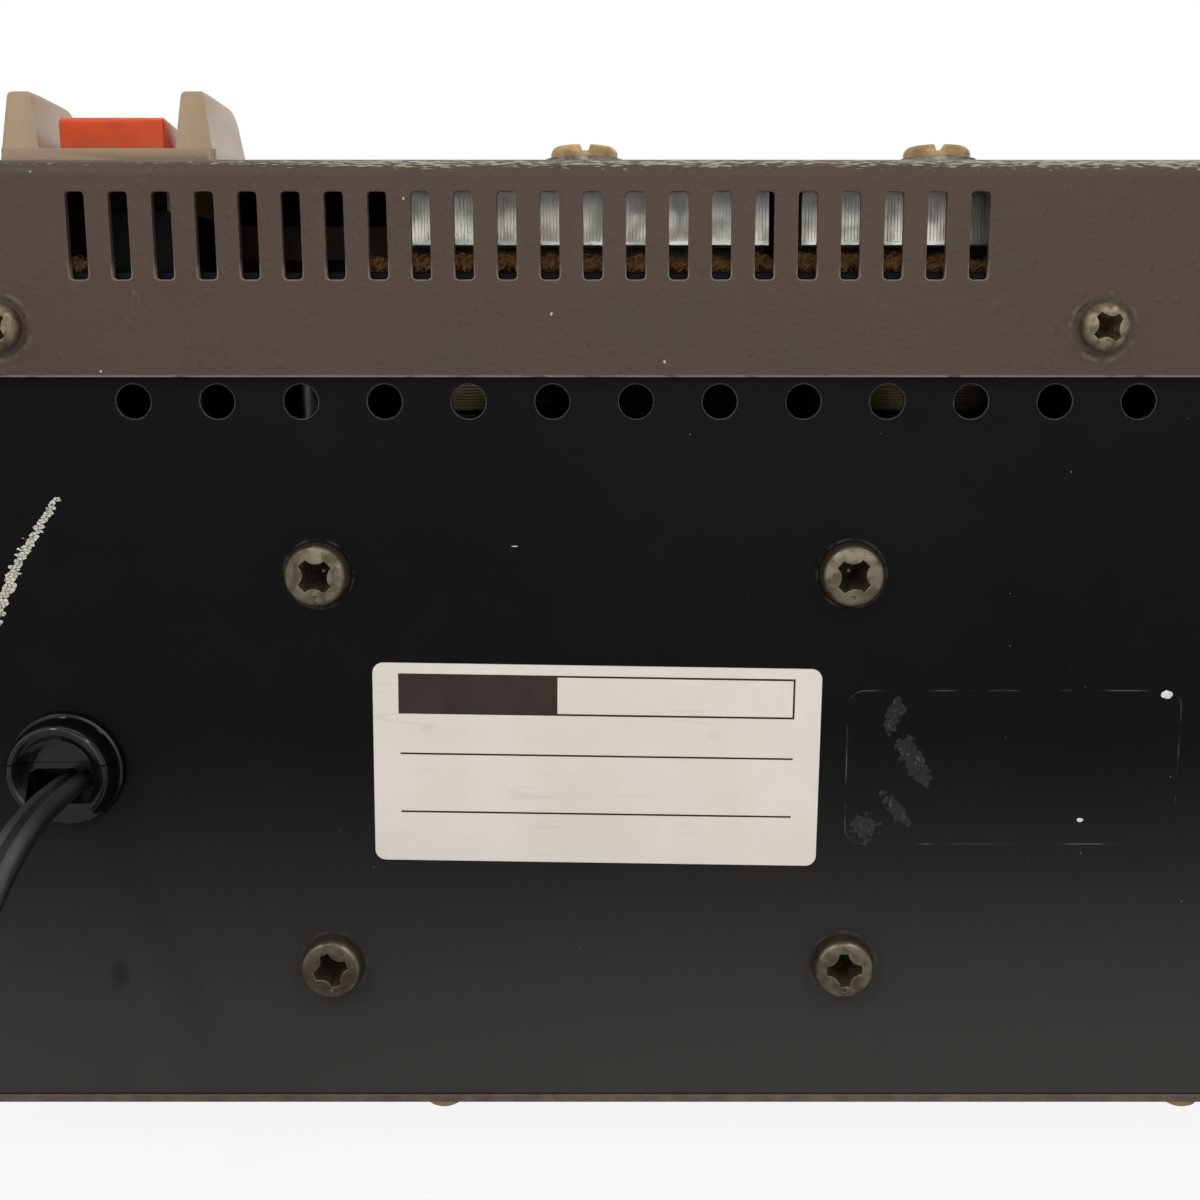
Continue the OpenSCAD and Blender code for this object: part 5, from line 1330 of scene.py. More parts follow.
@dataclass
class MainsLead(SubAssembly):
    """The flat two-core lead, its bushing, its coil behind the case, and its plug.

    Attributes:
        route: Points from inside the bushing down to the table and along it.
        coil_centre: Middle of the coil.
        coil_radius: Radius of the outermost turn.
        turn_step: Distance from one turn to the next.
        layer_step: Distance from one layer to the next.
        over_turn: Part of a turn after the last layer.
        tail: Length from the coil to the plug.
        steps_a_point: Points from one point of the route to the next.
        groove: Share of the thickness that the groove between the cores takes.
        groove_half: Half the groove's width.
        fullness: Power that rounds the section, 1 for an oval.
        flange: Thickness of the bushing's flange.
        mouth_top: Height of the mouth's arch above the bushing's middle.
        mouth_corner: Radius of the arch's corners.
        mouth_half: Half the mouth's width.
        seam: Heights between which the bushing's seam lies.
        seam_depth: How deep the seam is.
    """

    width: float = 5.2 * MM
    thickness: float = 3.0 * MM
    route: tuple[Point, ...] = (
        (0.228, 0.14075, 0.0633), (0.228, 0.146, 0.0633), (0.228, 0.152, 0.0631),
        (0.2282, 0.158, 0.0622), (0.2285, 0.164, 0.0602), (0.229, 0.170, 0.0566),
        (0.2296, 0.1755, 0.0514), (0.2304, 0.180, 0.045), (0.2312, 0.184, 0.0374),
        (0.2322, 0.1875, 0.0292), (0.2332, 0.191, 0.0214), (0.2342, 0.1955, 0.0138),
        (0.235, 0.201, 0.0076), (0.2355, 0.208, 0.0034), (0.23575, 0.215, 0.0017),
        (0.23575, 0.222, 0.0017))
    coil_centre: Pair = (0.200, 0.222)
    coil_radius: float = 35.75 * MM
    turn_step: float = 5.75 * MM
    layer_step: float = 3.65 * MM
    layers: int = 4
    turns_a_layer: float = 2.5
    over_turn: float = 0.25
    tail: float = 44 * MM
    steps_a_turn: int = 40
    steps_a_point: int = 5
    steps_a_tail: int = 14
    section_points: int = 48
    groove: float = 0.62
    groove_half: float = 0.5 * MM
    fullness: float = 0.8
    flange: float = 1.3 * MM
    mouth_top: float = -0.6 * MM
    mouth_corner: float = 1.7 * MM
    mouth_half: float = 4.9 * MM
    seam: Pair = (-1.7 * MM, -1.5 * MM)
    seam_depth: float = 2.4 * MM

    def coil_point(self, turns: float) -> Vector:
        """Returns the lead's middle after a number of turns of the coil."""
        lap = turns / self.turns_a_layer
        layer = int(lap)
        part = lap - layer
        wave = (self.layers * self.turns_a_layer - turns if lap >= self.layers
                else (part if layer % 2 == 0 else 1 - part) * self.turns_a_layer)
        climb = sum(self.ease((turns - k * self.turns_a_layer) * 2 + 0.5)
                    for k in range(1, self.layers))
        reach = self.coil_radius - self.turn_step * wave
        return Vector((self.coil_centre[0] + reach * cos(tau * turns),
                       self.coil_centre[1] + reach * sin(tau * turns),
                       self.route[-1][2] + self.layer_step * climb))

    @staticmethod
    def ease(share: float) -> float:
        """Returns a smooth rise from 0 to 1."""
        held = max(0.0, min(1.0, share))
        return held * held * (3 - 2 * held)

    def free_stretch(self) -> list[Vector]:
        """Returns points on one smooth curve through the route."""
        points = [Vector(p) for p in self.route]
        padded = [points[0] * 2 - points[1], *points, points[-1] * 2 - points[-2]]
        curve = []
        for a, b, c, d in zip(padded, padded[1:], padded[2:], padded[3:]):
            for k in range(self.steps_a_point):
                t = k / self.steps_a_point
                curve.append(0.5 * (2 * b + (c - a) * t + (2 * a - 5 * b + 4 * c - d) * t * t
                                    + (3 * b - a - 3 * c + d) * t ** 3))
        return curve

    def path(self) -> tuple[list[Vector], list[Vector]]:
        """Returns the points that the lead follows, and the way across it at each."""
        points = self.free_stretch()
        across = []
        for k, point in enumerate(points):
            ahead = (points[min(k + 1, len(points) - 1)] - points[max(k - 1, 0)]).normalized()
            across.append((Vector((1, 0, 0)) - ahead * ahead.x).normalized())
        turns = self.layers * self.turns_a_layer + self.over_turn
        for k in range(int(turns * self.steps_a_turn) + 1):
            turn = k / self.steps_a_turn
            points.append(self.coil_point(turn))
            across.append(Vector((cos(tau * turn), sin(tau * turn), 0)))
        end = points[-1].copy()
        plug = middle("power_plug").z
        for k in range(1, self.steps_a_tail + 1):
            share = k / self.steps_a_tail
            drop = (plug - end.z) * self.ease(share * 1.15 - 0.03)
            points.append(Vector((end.x - self.tail * share, end.y, end.z + drop)))
            across.append(Vector((0, 1, 0)))
        return points, across

    def section(self) -> Outline:
        """Returns the lead's section: two round cores with a shallow groove between them."""
        outline = []
        for k in range(self.section_points):
            angle = tau * k / self.section_points
            x = self.width / 2 * cos(angle)
            waist = 1 - self.groove * exp(-(x / self.groove_half) ** 2)
            full = copysign(abs(sin(angle)) ** self.fullness, sin(angle))
            outline.append((x, self.thickness / 2 * full * waist))
        return outline

    def build_lead(self) -> None:
        points, across = self.path()
        section = self.section()
        rings = []
        for k, point in enumerate(points):
            ahead = (points[min(k + 1, len(points) - 1)] - points[max(k - 1, 0)]).normalized()
            up = across[k].cross(ahead).normalized()
            if k > len(self.route) * self.steps_a_point:
                up = Vector((0, 0, 1))
            rings.append([point + across[k] * x + up * y for x, y in section])
        shape = Shape()
        shape.loft(rings)
        lead = self.place(shape, "mains_lead", Paint.LEAD, "lead_sheath",
                          replaces=("power_cord", "power_cord_coil"))

    def build_plug(self) -> None:
        """Makes the plug with its finger grooves."""
        shape = copied("power_plug")
        shape.soften(0.9 * MM)
        self.plug = self.place(shape, "mains_plug", Paint.PLUG, "plug_plastic",
                               replaces=("power_plug",))
        self.dress(Metal.BLADE, "plug_blades")

    def bushing_profile(self, edge: float, back: float, out: float) -> Outline:
        """Returns the radius and height of each ring of the bushing.

        Args:
            edge: Radius of its flange.
            back: Height at which it starts, behind the panel's face.
            out: Height of its crest.

        Returns:
            The profile, from the back to the middle of its front.
        """
        flange, foot, crown = self.flange, edge - 0.5 * MM, edge - 1.7 * MM
        profile = [(foot - 0.4 * MM, back), (foot - 0.4 * MM, 0.0), (edge, 0.0),
                   (edge, flange * 0.7), (edge - 0.15 * MM, flange * 0.94), (foot, flange)]
        for k in range(1, 9):
            angle = pi / 2 * k / 8
            profile.append((crown + (foot - crown) * cos(angle),
                            flange + (out - flange) * sin(angle)))
        for inset, depth in ((0.6, 0.15), (1.1, 0.7), (1.6, 1.5), (2.4, 1.95), (3.6, 2.1)):
            profile.append((crown - inset * MM, out - depth * MM))
        return profile + [(CORE, out - 2.15 * MM)]

    def mouth(self, edge: float) -> Outline:
        """Returns the outline of the bushing's arched mouth, which is open below."""
        half, corner = self.mouth_half, self.mouth_corner
        arch = [(half, edge * 1.2), (-half, edge * 1.2)]
        for k in range(7):
            angle = pi / 2 * k / 6
            arch.append((-half + corner * (1 - cos(angle)),
                         self.mouth_top + corner * (1 - sin(angle))))
        return arch + [(-x, y) for x, y in reversed(arch[2:])]

    def build_bushing(self) -> None:
        """Makes the glossy bushing: a domed ring on its flange, with an arched mouth below."""
        low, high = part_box("cord_bushing")
        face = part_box("rear_panel")[1][1]
        out, edge = high[1] - face, (high[0] - low[0]) / 2
        centre = middle("cord_bushing")
        place = Matrix.Translation((centre.x, face, centre.z)) @ Axis.REAR.value
        shape = Shape()
        shape.turned(self.bushing_profile(edge, low[1] - face, out), place, 96)
        arch = self.mouth(edge)
        hollow = [(x * 0.97, min(y * 0.97, edge * 0.62)) for x, y in arch]
        bottom, top = self.seam
        seam = [(edge, bottom), (edge, top), (-edge, top), (-edge, bottom)]
        for outline, start, end in ((arch, self.flange, out * 1.3),
                                    (hollow, -6 * MM, self.flange * 1.5),
                                    (seam, out - self.seam_depth, out * 1.3)):
            cutter = Shape()
            cutter.plate(outline, start, end, place)
            shape.carve(cutter)
        self.place(shape, "lead_bushing", Paint.BUSHING, "bushing_plastic",
                   replaces=("cord_bushing",))

    def build(self) -> None:
        """Makes the plug, the lead and the bushing."""
        self.build_plug()
        self.build_lead()
        self.build_bushing()


@dataclass(frozen=True)
class ScrewHead:
    """A pan head with its drive, pointing along its own +Z.

    Attributes:
        recess: Share of the head that the cross takes, or 0 for a plain slot.
        flat: Share of the head's radius over which its top is flat.
        ragged: How far the recess's edges are torn, in metres.
        dotted: Whether a small mark is punched beside the recess.
        arm: Half an arm's width in the cross, as a share of the radius.
    """

    radius: float
    height: float
    shank: float
    length: float
    recess: float = 0.52
    flat: float = 0.3
    ragged: float = 0.0
    dotted: bool = False
    arm: float = 0.145
    sides: int = 56

    def body(self, place: Matrix) -> Shape:
        """Returns the head and shank before the drive is cut."""
        r, h = self.radius, self.height
        profile = [(CORE, -self.length), (self.shank, -self.length), (self.shank, 0.0),
                   (r * 0.96, 0.0), (r, h * 0.08), (r, h * 0.36)]
        for k in range(1, 8):
            angle = pi / 2 * k / 7
            profile.append((r * (self.flat + (1 - self.flat) * cos(angle)),
                            h * (0.36 + 0.61 * sin(angle))))
        profile += [(r * self.flat * 0.5, h * 0.99), (CORE, h)]
        shape = Shape()
        shape.turned(profile, place, self.sides)
        return shape

    def cross(self, place: Matrix, rng: random.Random) -> Shape:
        """Returns the cutter of a cross recess whose inner corners curve inwards."""
        reach, half = self.radius * self.recess, self.radius * self.arm
        shape = Shape()
        rings = []
        for share, depth in ((1.25, self.height * 1.25), (1.0, self.height * 0.93),
                             (0.8, self.height * 0.1), (0.1, self.height * -1.2)):
            ring = []
            for quarter in range(4):
                turn = Matrix.Rotation(pi / 2 * quarter, 4, "Z")
                for step in range(6):
                    angle = pi * (1.5 - step / 10)
                    x = reach + (reach - half) * cos(angle)
                    y = reach + (reach - half) * sin(angle)
                    torn = share * (1 + rng.uniform(-1, 1) * self.ragged / reach)
                    ring.append(place @ turn @ Vector((x * torn, y * torn, depth)))
            rings.append(ring)
        shape.loft(rings)
        return shape

    def slot(self, place: Matrix) -> Shape:
        """Returns the cutter of a plain slot whose sides lean outwards."""
        shape = Shape()
        reach = self.radius * 1.2
        shape.loft([[place @ Vector((x, y, self.height * depth))
                     for x, y in ((-half, -reach), (half, -reach), (half, reach), (-half, reach))]
                    for half, depth in ((0.45 * MM, 0.45), (0.75 * MM, 1.0), (0.95 * MM, 1.3))])
        return shape

    def make(self, at: Point, axis: Axis, turn: float, rng: random.Random) -> Shape:
        """Makes one screw.

        Args:
            at: Middle of the head's seat.
            axis: Which way the head points.
            turn: How far the drive is turned, in degrees.
            rng: Source of the recess's irregularity.

        Returns:
            The screw's shape.
        """
        seat = Matrix.Translation(Vector(at)) @ axis.value
        place = seat @ Matrix.Rotation(radians(turn), 4, "Z")
        shape = self.body(place)
        shape.carve(self.cross(place, rng) if self.recess else self.slot(place))
        if self.dotted:
            dot = Shape()
            spot = seat @ Matrix.Translation((0, self.radius * 0.66, 0))
            dot.turned([(0.02 * MM, self.height * 0.8), (0.32 * MM, self.height * 0.86),
                        (0.4 * MM, self.height * 1.2)], spot, 14)
            shape.carve(dot)
        return shape


@dataclass
class Fasteners(SubAssembly):
    """All the screws, bolts and washers that show.

    Attributes:
        cover_turns: How far the drive of each rear cover screw is turned, in degrees.
        side_turn: The same of the side screws.
        bolt_turns: The same of the bolts.
        transit_turns: The same of the transit screws.
        seed: Seed of the recesses' irregularity.
    """

    cover_turns: tuple[float, ...] = (43, 40, 20, -9)
    side_turn: float = 25
    bolt_turns: tuple[float, ...] = (42, 48, 20, 3)
    transit_turns: tuple[float, ...] = (4, -6)
    seed: int = 5

    def gather(self, shapes: Sequence[Shape], name: str, finish: Finish, slot: str,
               replaces: Iterable[str]) -> None:
        """Joins screws of one kind into one piece.

        Args:
            shapes: The screws.
            name: Name of the piece.
            finish: Their finish.
            slot: Not used.
            replaces: The node that they stand for.
        """
        whole = Shape()
        for shape in shapes:
            data = bpy.data.meshes.new("screw")
            shape.mesh.to_mesh(data)
            whole.mesh.from_mesh(data)
            bpy.data.meshes.remove(data)
            shape.mesh.free()
        self.place(whole, name, finish, slot, replaces=replaces)

    def build(self) -> None:
        """Makes the cover screws, the bolts and the transit screws."""
        rng = random.Random(self.seed)
        cover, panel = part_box("top_cover"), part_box("rear_panel")
        rear, face, side = cover[1][1], panel[1][1], cover[1][0]
        head = ScrewHead(radius=3.5 * MM, height=2.5 * MM, shank=2 * MM, length=8 * MM,
                         recess=0.64, flat=0.5, ragged=0.1 * MM)
        shapes = [head.make((x, rear, COVER_SCREW_Z), Axis.REAR, turn, rng)
                  for x, turn in zip(COVER_SCREW_X, self.cover_turns)]
        shapes += [head.make((way * side, y, SIDE_SCREW_Z), axis, self.side_turn, rng)
                   for way, axis in ((1, Axis.RIGHT), (-1, Axis.LEFT)) for y in SIDE_SCREW_Y]
        self.gather(shapes, "worn_cover_screws", Metal.WORN, "worn_screw", ("cover_screws",))
        bolt = ScrewHead(radius=4.7 * MM, height=2.8 * MM, shank=2.5 * MM, length=58.5 * MM,
                         recess=0.55, flat=0.84, ragged=0.02 * MM, dotted=True)
        shapes = [bolt.make((x, face, z), Axis.REAR, turn, rng)
                  for (x, z), turn in zip(BOLT_AT, self.bolt_turns)]
        self.gather(shapes, "dark_bolts", Metal.BOLT, "dark_bolt", ("transformer_bolts",))
        washer_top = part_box("transit_washers")[1][2]
        middle = sum(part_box("transit_screws")[k][1] for k in (0, 1)) / 2
        transit = ScrewHead(radius=4.8 * MM, height=1.9 * MM, shank=2.5 * MM, length=4 * MM,
                            recess=0.0, flat=0.78)
        shapes = [transit.make((x, middle, washer_top), Axis.UP, turn, rng)
                  for x, turn in zip(TRANSIT_X, self.transit_turns)]
        self.gather(shapes, "transit_screw_heads", Metal.YELLOW, "yellow_screw",
                    ("transit_screws",))
        self.dress(Metal.WASHER, "transit_washers")
        self.dress(Metal.YELLOW, "bottom_screws")


@dataclass
class Case(SubAssembly):
    """Cover, rear panel, bottom plate, front panel and feet, and the fluff behind the slots.

    Attributes:
        fluff: X between which fluff lies behind the heat sinks.
        tuft: X between which a little lies behind the first slot.
        sparse: How many fibres lie behind the heat sinks for each one in the tuft.
        felt_step: Distance between the felt's sections.
        drops: X, Z, width and height of each dried drop and of the thread; width and height in
            millimetres each way from its middle.
        ripples: Points round a drop.
    """

    fibres: int = 3200
    fluff: Pair = (94 * MM, 183 * MM)
    tuft: Pair = (0.2195, 0.2245)
    sparse: int = 16
    felt_step: float = 0.4 * MM
    drops: tuple[tuple[float, float, float, float], ...] = (
        (0.0652, 0.0764, 0.85, 0.65), (0.0772, 0.057, 0.5, 0.3), (0.1617, 0.0986, 0.5, 0.09))
    ripples: int = 18

    def build(self) -> None:
        """Dresses the sheet metal and lays the fluff."""
        cover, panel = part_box("top_cover"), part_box("rear_panel")
        rear, face = cover[1][1], panel[1][1]
        paint = CoverPaint(
            "cover_paint", seen(70, 56, 47), 0.45, specular=0.2, drift=0.08, grain=0.2,
            grain_size=0.8 * MM, lumps=0.4, corner=0.35 * MM, wear=0.12,
            rubbed=seen(120, 108, 94), scratch=0.1, scored=seen(124, 112, 100),
            speck=0.3, top=cover[1][2], rear=rear, flange=cover[1][2] - 30 * MM,
            seats=tuple((x, rear, COVER_SCREW_Z) for x in COVER_SCREW_X))
        self.dress(paint, "top_cover")
        black = PanelPaint(
            "panel_paint", seen(15, 14, 15), 0.4, specular=0.04, drift=0.2, drift_size=60 * MM,
            # Painted highlight: the pale bluish-grey of the worn edges is partly bared paint and
            # partly light caught along the rims of the holes and slots.
            grain=0.004, grain_size=0.8 * MM, wear=0.6, rubbed=seen(126, 134, 140),
            corner=0.25 * MM, scratch=0.08, scored=seen(70, 71, 72), speck=0.5, face=face,
            seats=tuple((x, face, z) for x, z in BOLT_AT))
        self.dress(black, "rear_panel")
        self.dress(Paint.BOTTOM, "bottom_plate")
        self.soft_copy("front_panel", 1.2 * MM, Paint.FRONT, "brown_moulding")
        self.dress(Paint.FOOT, "rubber_feet")
        self.lay_fluff(panel[1][2], face)
        self.lay_chips(face)

    def lay_fluff(self, flange_top: float, face: float) -> None:
        """Lays dusty fluff on the rear panel's upper flange, behind the slots.

        Args:
            flange_top: Height of the flange.
            face: Y of the panel's rear face.
        """
        rng = random.Random(11)
        spans = [self.fluff] * self.sparse + [self.tuft]
        felt = Shape()
        for low, high in spans[-2:]:
            count = int((high - low) / self.felt_step)
            rings = []
            for k in range(count + 1):
                tall = rng.uniform(0.5, 1.4) * MM * (0.2 if k in (0, count) else 1.0)
                x = low + (high - low) * k / count
                rings.append([Vector((x, face - (3.2 - 1.8 * cos(a)) * MM,
                                      flange_top - 0.05 * MM + tall * sin(a)))
                              for a in (0.0, 0.6, 1.2, 1.9, 2.5, pi)])
            felt.loft(rings)
        self.place(felt, "fluff_felt", Paint.FELT, "foot_rubber")
        shape = Shape()
        for k in range(self.fibres):
            low, high = spans[k % len(spans)]
            depth = rng.uniform(1.3, 4.9) * MM
            base = Vector((rng.uniform(low, high), face - depth, flange_top - 0.1 * MM))
            tall = rng.uniform(1.0, 3.0) * MM * (0.8 + 0.2 * sin(base.x * 900))
            lean = Vector((rng.uniform(-1, 1), rng.uniform(-1, 0.4), 0)) * MM
            curl, turn = rng.uniform(0.3, 0.8) * MM, rng.uniform(0, tau)
            thick = rng.uniform(0.03, 0.075) * MM
            rings = []
            for step in range(7):
                share = step / 6
                swing = turn + share * 5
                middle = base + lean * share + Vector((
                    curl * (cos(swing) - cos(turn)),
                    0.6 * curl * (sin(swing) - sin(turn)),
                    tall * sin(share * 2.0)))
                rings.append([middle + Vector((cos(a), 0.0, sin(a))) * thick
                              for a in (0.0, 2.1, 4.2)])
            shape.loft(rings)
        self.place(shape, "slot_fluff", Paint.FLUFF, "foot_rubber")

    def lay_chips(self, face: float) -> None:
        """Lays the small dried drops and the thread on the rear panel.

        Args:
            face: Y of the panel's rear face.
        """
        rng = random.Random(23)
        shape = Shape()
        for x, z, wide, tall in self.drops:
            place = (Matrix.Translation((x, face - 0.02 * MM, z)) @ Axis.REAR.value
                     @ Matrix.Diagonal((wide, tall, 1.0, 1.0)))
            ripple = [rng.uniform(-0.16, 0.16) * MM for _ in range(self.ripples)]
            shape.turned([(0.94 * MM, 0.0), (1.0 * MM, 0.06 * MM), (0.8 * MM, 0.13 * MM),
                          (CORE, 0.15 * MM)], place, self.ripples,
                         lambda height, angle: 0.0 if height > 0.14 * MM else
                         ripple[round(angle / tau * self.ripples) % self.ripples])
        self.place(shape, "panel_drops", Paint.DROP, "spindle_plastic")


@dataclass
class RatingPlate(SubAssembly):
    """The bare silver plate with its printed bar, box and rules.

    Attributes:
        centre: Middle of the plate, X and Z.
        tilt: How far it was stuck on askew, in degrees.
        ink: Thickness of the print.
        boxes: Left, bottom, right and top of each printed box in millimetres from the plate's
            middle, as it is read from behind the unit.
    """

    centre: Pair = (0.150, 0.06555)
    tilt: float = -0.9
    ink: float = 0.015 * MM
    boxes: tuple[tuple[float, float, float, float], ...] = (
        (-29.5, 7.55, -5.9, 13.67), (-5.9, 7.55, 29.36, 7.85), (-5.9, 13.37, 29.36, 13.67),
        (29.06, 7.85, 29.36, 13.37), (-29.3, 1.29, 29.3, 1.57), (-29.3, -7.72, 29.3, -7.44))

    def build(self) -> None:
        """Dresses the plate and prints its blank form."""
        self.dress(Metal.FOIL, "rating_plate")
        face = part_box("rating_plate")[1][1]
        place = (Matrix.Translation((self.centre[0], face, self.centre[1]))
                 @ Matrix.Rotation(radians(self.tilt), 4, "Y") @ Axis.REAR.value)
        shape = Shape()
        for x0, y0, x1, y1 in self.boxes:
            corners = ((x0, y0), (x1, y0), (x1, y1), (x0, y1))
            shape.plate([(-x * MM, -y * MM) for x, y in corners], 0.0, self.ink, place)
        self.place(shape, "plate_print", Paint.PRINT, "dark_bolt")


@dataclass
class PowerSwitch(SubAssembly):
    """The guarded rocker."""

    def build(self) -> None:
        """Rounds and dresses the guard and the rocker."""
        self.soft_copy("switch_guard", 0.28 * MM, Paint.GUARD, "guard_plastic")
        self.soft_copy("power_rocker", 0.35 * MM, Paint.ROCKER, "orange_plastic", "power_rocker")
        self.dress(Inside.SWITCH, "switch_body")


@dataclass
class MainsSide(SubAssembly):
    """Transformer, board, heat sinks and what they carry."""

    sink_width: float = 55 * MM
    sink_height: float = 8.2 * MM
    sink_cap: float = 1.2 * MM
    sink_lip: float = 0.5 * MM
    sink_web: float = 3 * MM
    groove_pitch: float = 0.5 * MM
    groove_depth: float = 0.3 * MM

    def build(self) -> None:
        """Makes the heat sinks and dresses the pieces behind the rear panel."""
        self.build_sinks()
        self.dress(Inside.LAMINATION, "transformer_core")
        self.dress(Inside.WINDING, "transformer_winding")
        self.dress(Inside.BOARD, "circuit_board", "control_board")
        self.dress(Inside.EPOXY, "power_transistors")
        self.dress(Inside.SLEEVE, "filter_capacitors")

    def build_sinks(self) -> None:
        """Makes the two heat sinks with the fine grooves of their rear faces."""
        low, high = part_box("heat_sinks")
        under = high[2] - self.sink_height
        levels = ((under, self.plain), (under + self.sink_lip, self.plain),
                  (under + self.sink_lip, self.grooved), (high[2] - self.sink_cap, self.grooved),
                  (high[2] - self.sink_cap, self.plain), (high[2], self.plain))
        blocks, webs = Shape(), Shape()
        for x in (low[0], high[0] - self.sink_width):
            blocks.loft([[Vector((x + along, y, z)) for along, y in outline(low[1], high[1])]
                         for z, outline in levels])
            webs.box((x, low[1], low[2]), (x + self.sink_width, low[1] + self.sink_web, under))
        bmesh.ops.remove_doubles(blocks.mesh, verts=blocks.mesh.verts, dist=1e-7)
        webs.soften(0.3 * MM)
        self.place(blocks, "grooved_sinks", Metal.SINK, "sink_aluminium",
                   replaces=("heat_sinks",))
        # Painted shade: the webs take the darkened finish.
        self.place(webs, "sink_webs", Metal.SHADED_WEB, "sink_aluminium")

    def grooved(self, front: float, rear: float) -> Outline:
        """Returns a sink's outline, with grooves along its rear."""
        outline = [(0.0, front), (self.sink_width, front), (self.sink_width, rear)]
        count = int(self.sink_width / self.groove_pitch) - 1
        for k in range(count):
            start = self.sink_width - (k + 0.6) * self.groove_pitch
            for share, depth in ((0.0, 0.0), (0.12, 1.0), (0.38, 1.0), (0.5, 0.0)):
                outline.append((start - share * self.groove_pitch,
                                rear - depth * self.groove_depth))
        return outline + [(0.0, rear)]

    def plain(self, front: float, rear: float) -> Outline:
        """Returns a sink's outline without its grooves, point for point."""
        return [(x, y if y == front else rear) for x, y in self.grooved(front, rear)]


@dataclass
class TapeDeck(SubAssembly):
    """Wells, spindles, heads, rollers and the drive below them."""

    wells: int = 4

    def build(self) -> None:
        """Dresses the wells and the drive."""
        self.dress(Paint.TRAY, "cassette_trays")
        self.dress(Metal.SHEET, "mechanism_plate")
        self.dress(Metal.TURNED, "support_posts")
        self.dress(Metal.BRONZE, "bearing_bushes")
        self.dress(Metal.CAN, "capstan_motor")
        self.dress(Metal.TURNED, "motor_pulley")
        self.dress(Inside.BELT, "drive_belts")
        self.dress(Inside.PAPER, "engage_solenoid")
        self.dress(Metal.PRESSED, "engage_bar", "head_plates")
        self.dress(Metal.HEAD, "tape_heads")
        for number in range(1, self.wells + 1):
            self.dress(Metal.FLYWHEEL, f"flywheel_{number}")
            self.dress(Inside.ROLLER, f"pinch_roller_{number}")
            for side in ("supply", "takeup"):
                node = f"{side}_spindle_{number}"
                self.soft_copy(node, 0.12 * MM, Paint.SPINDLE, "spindle_plastic", node)


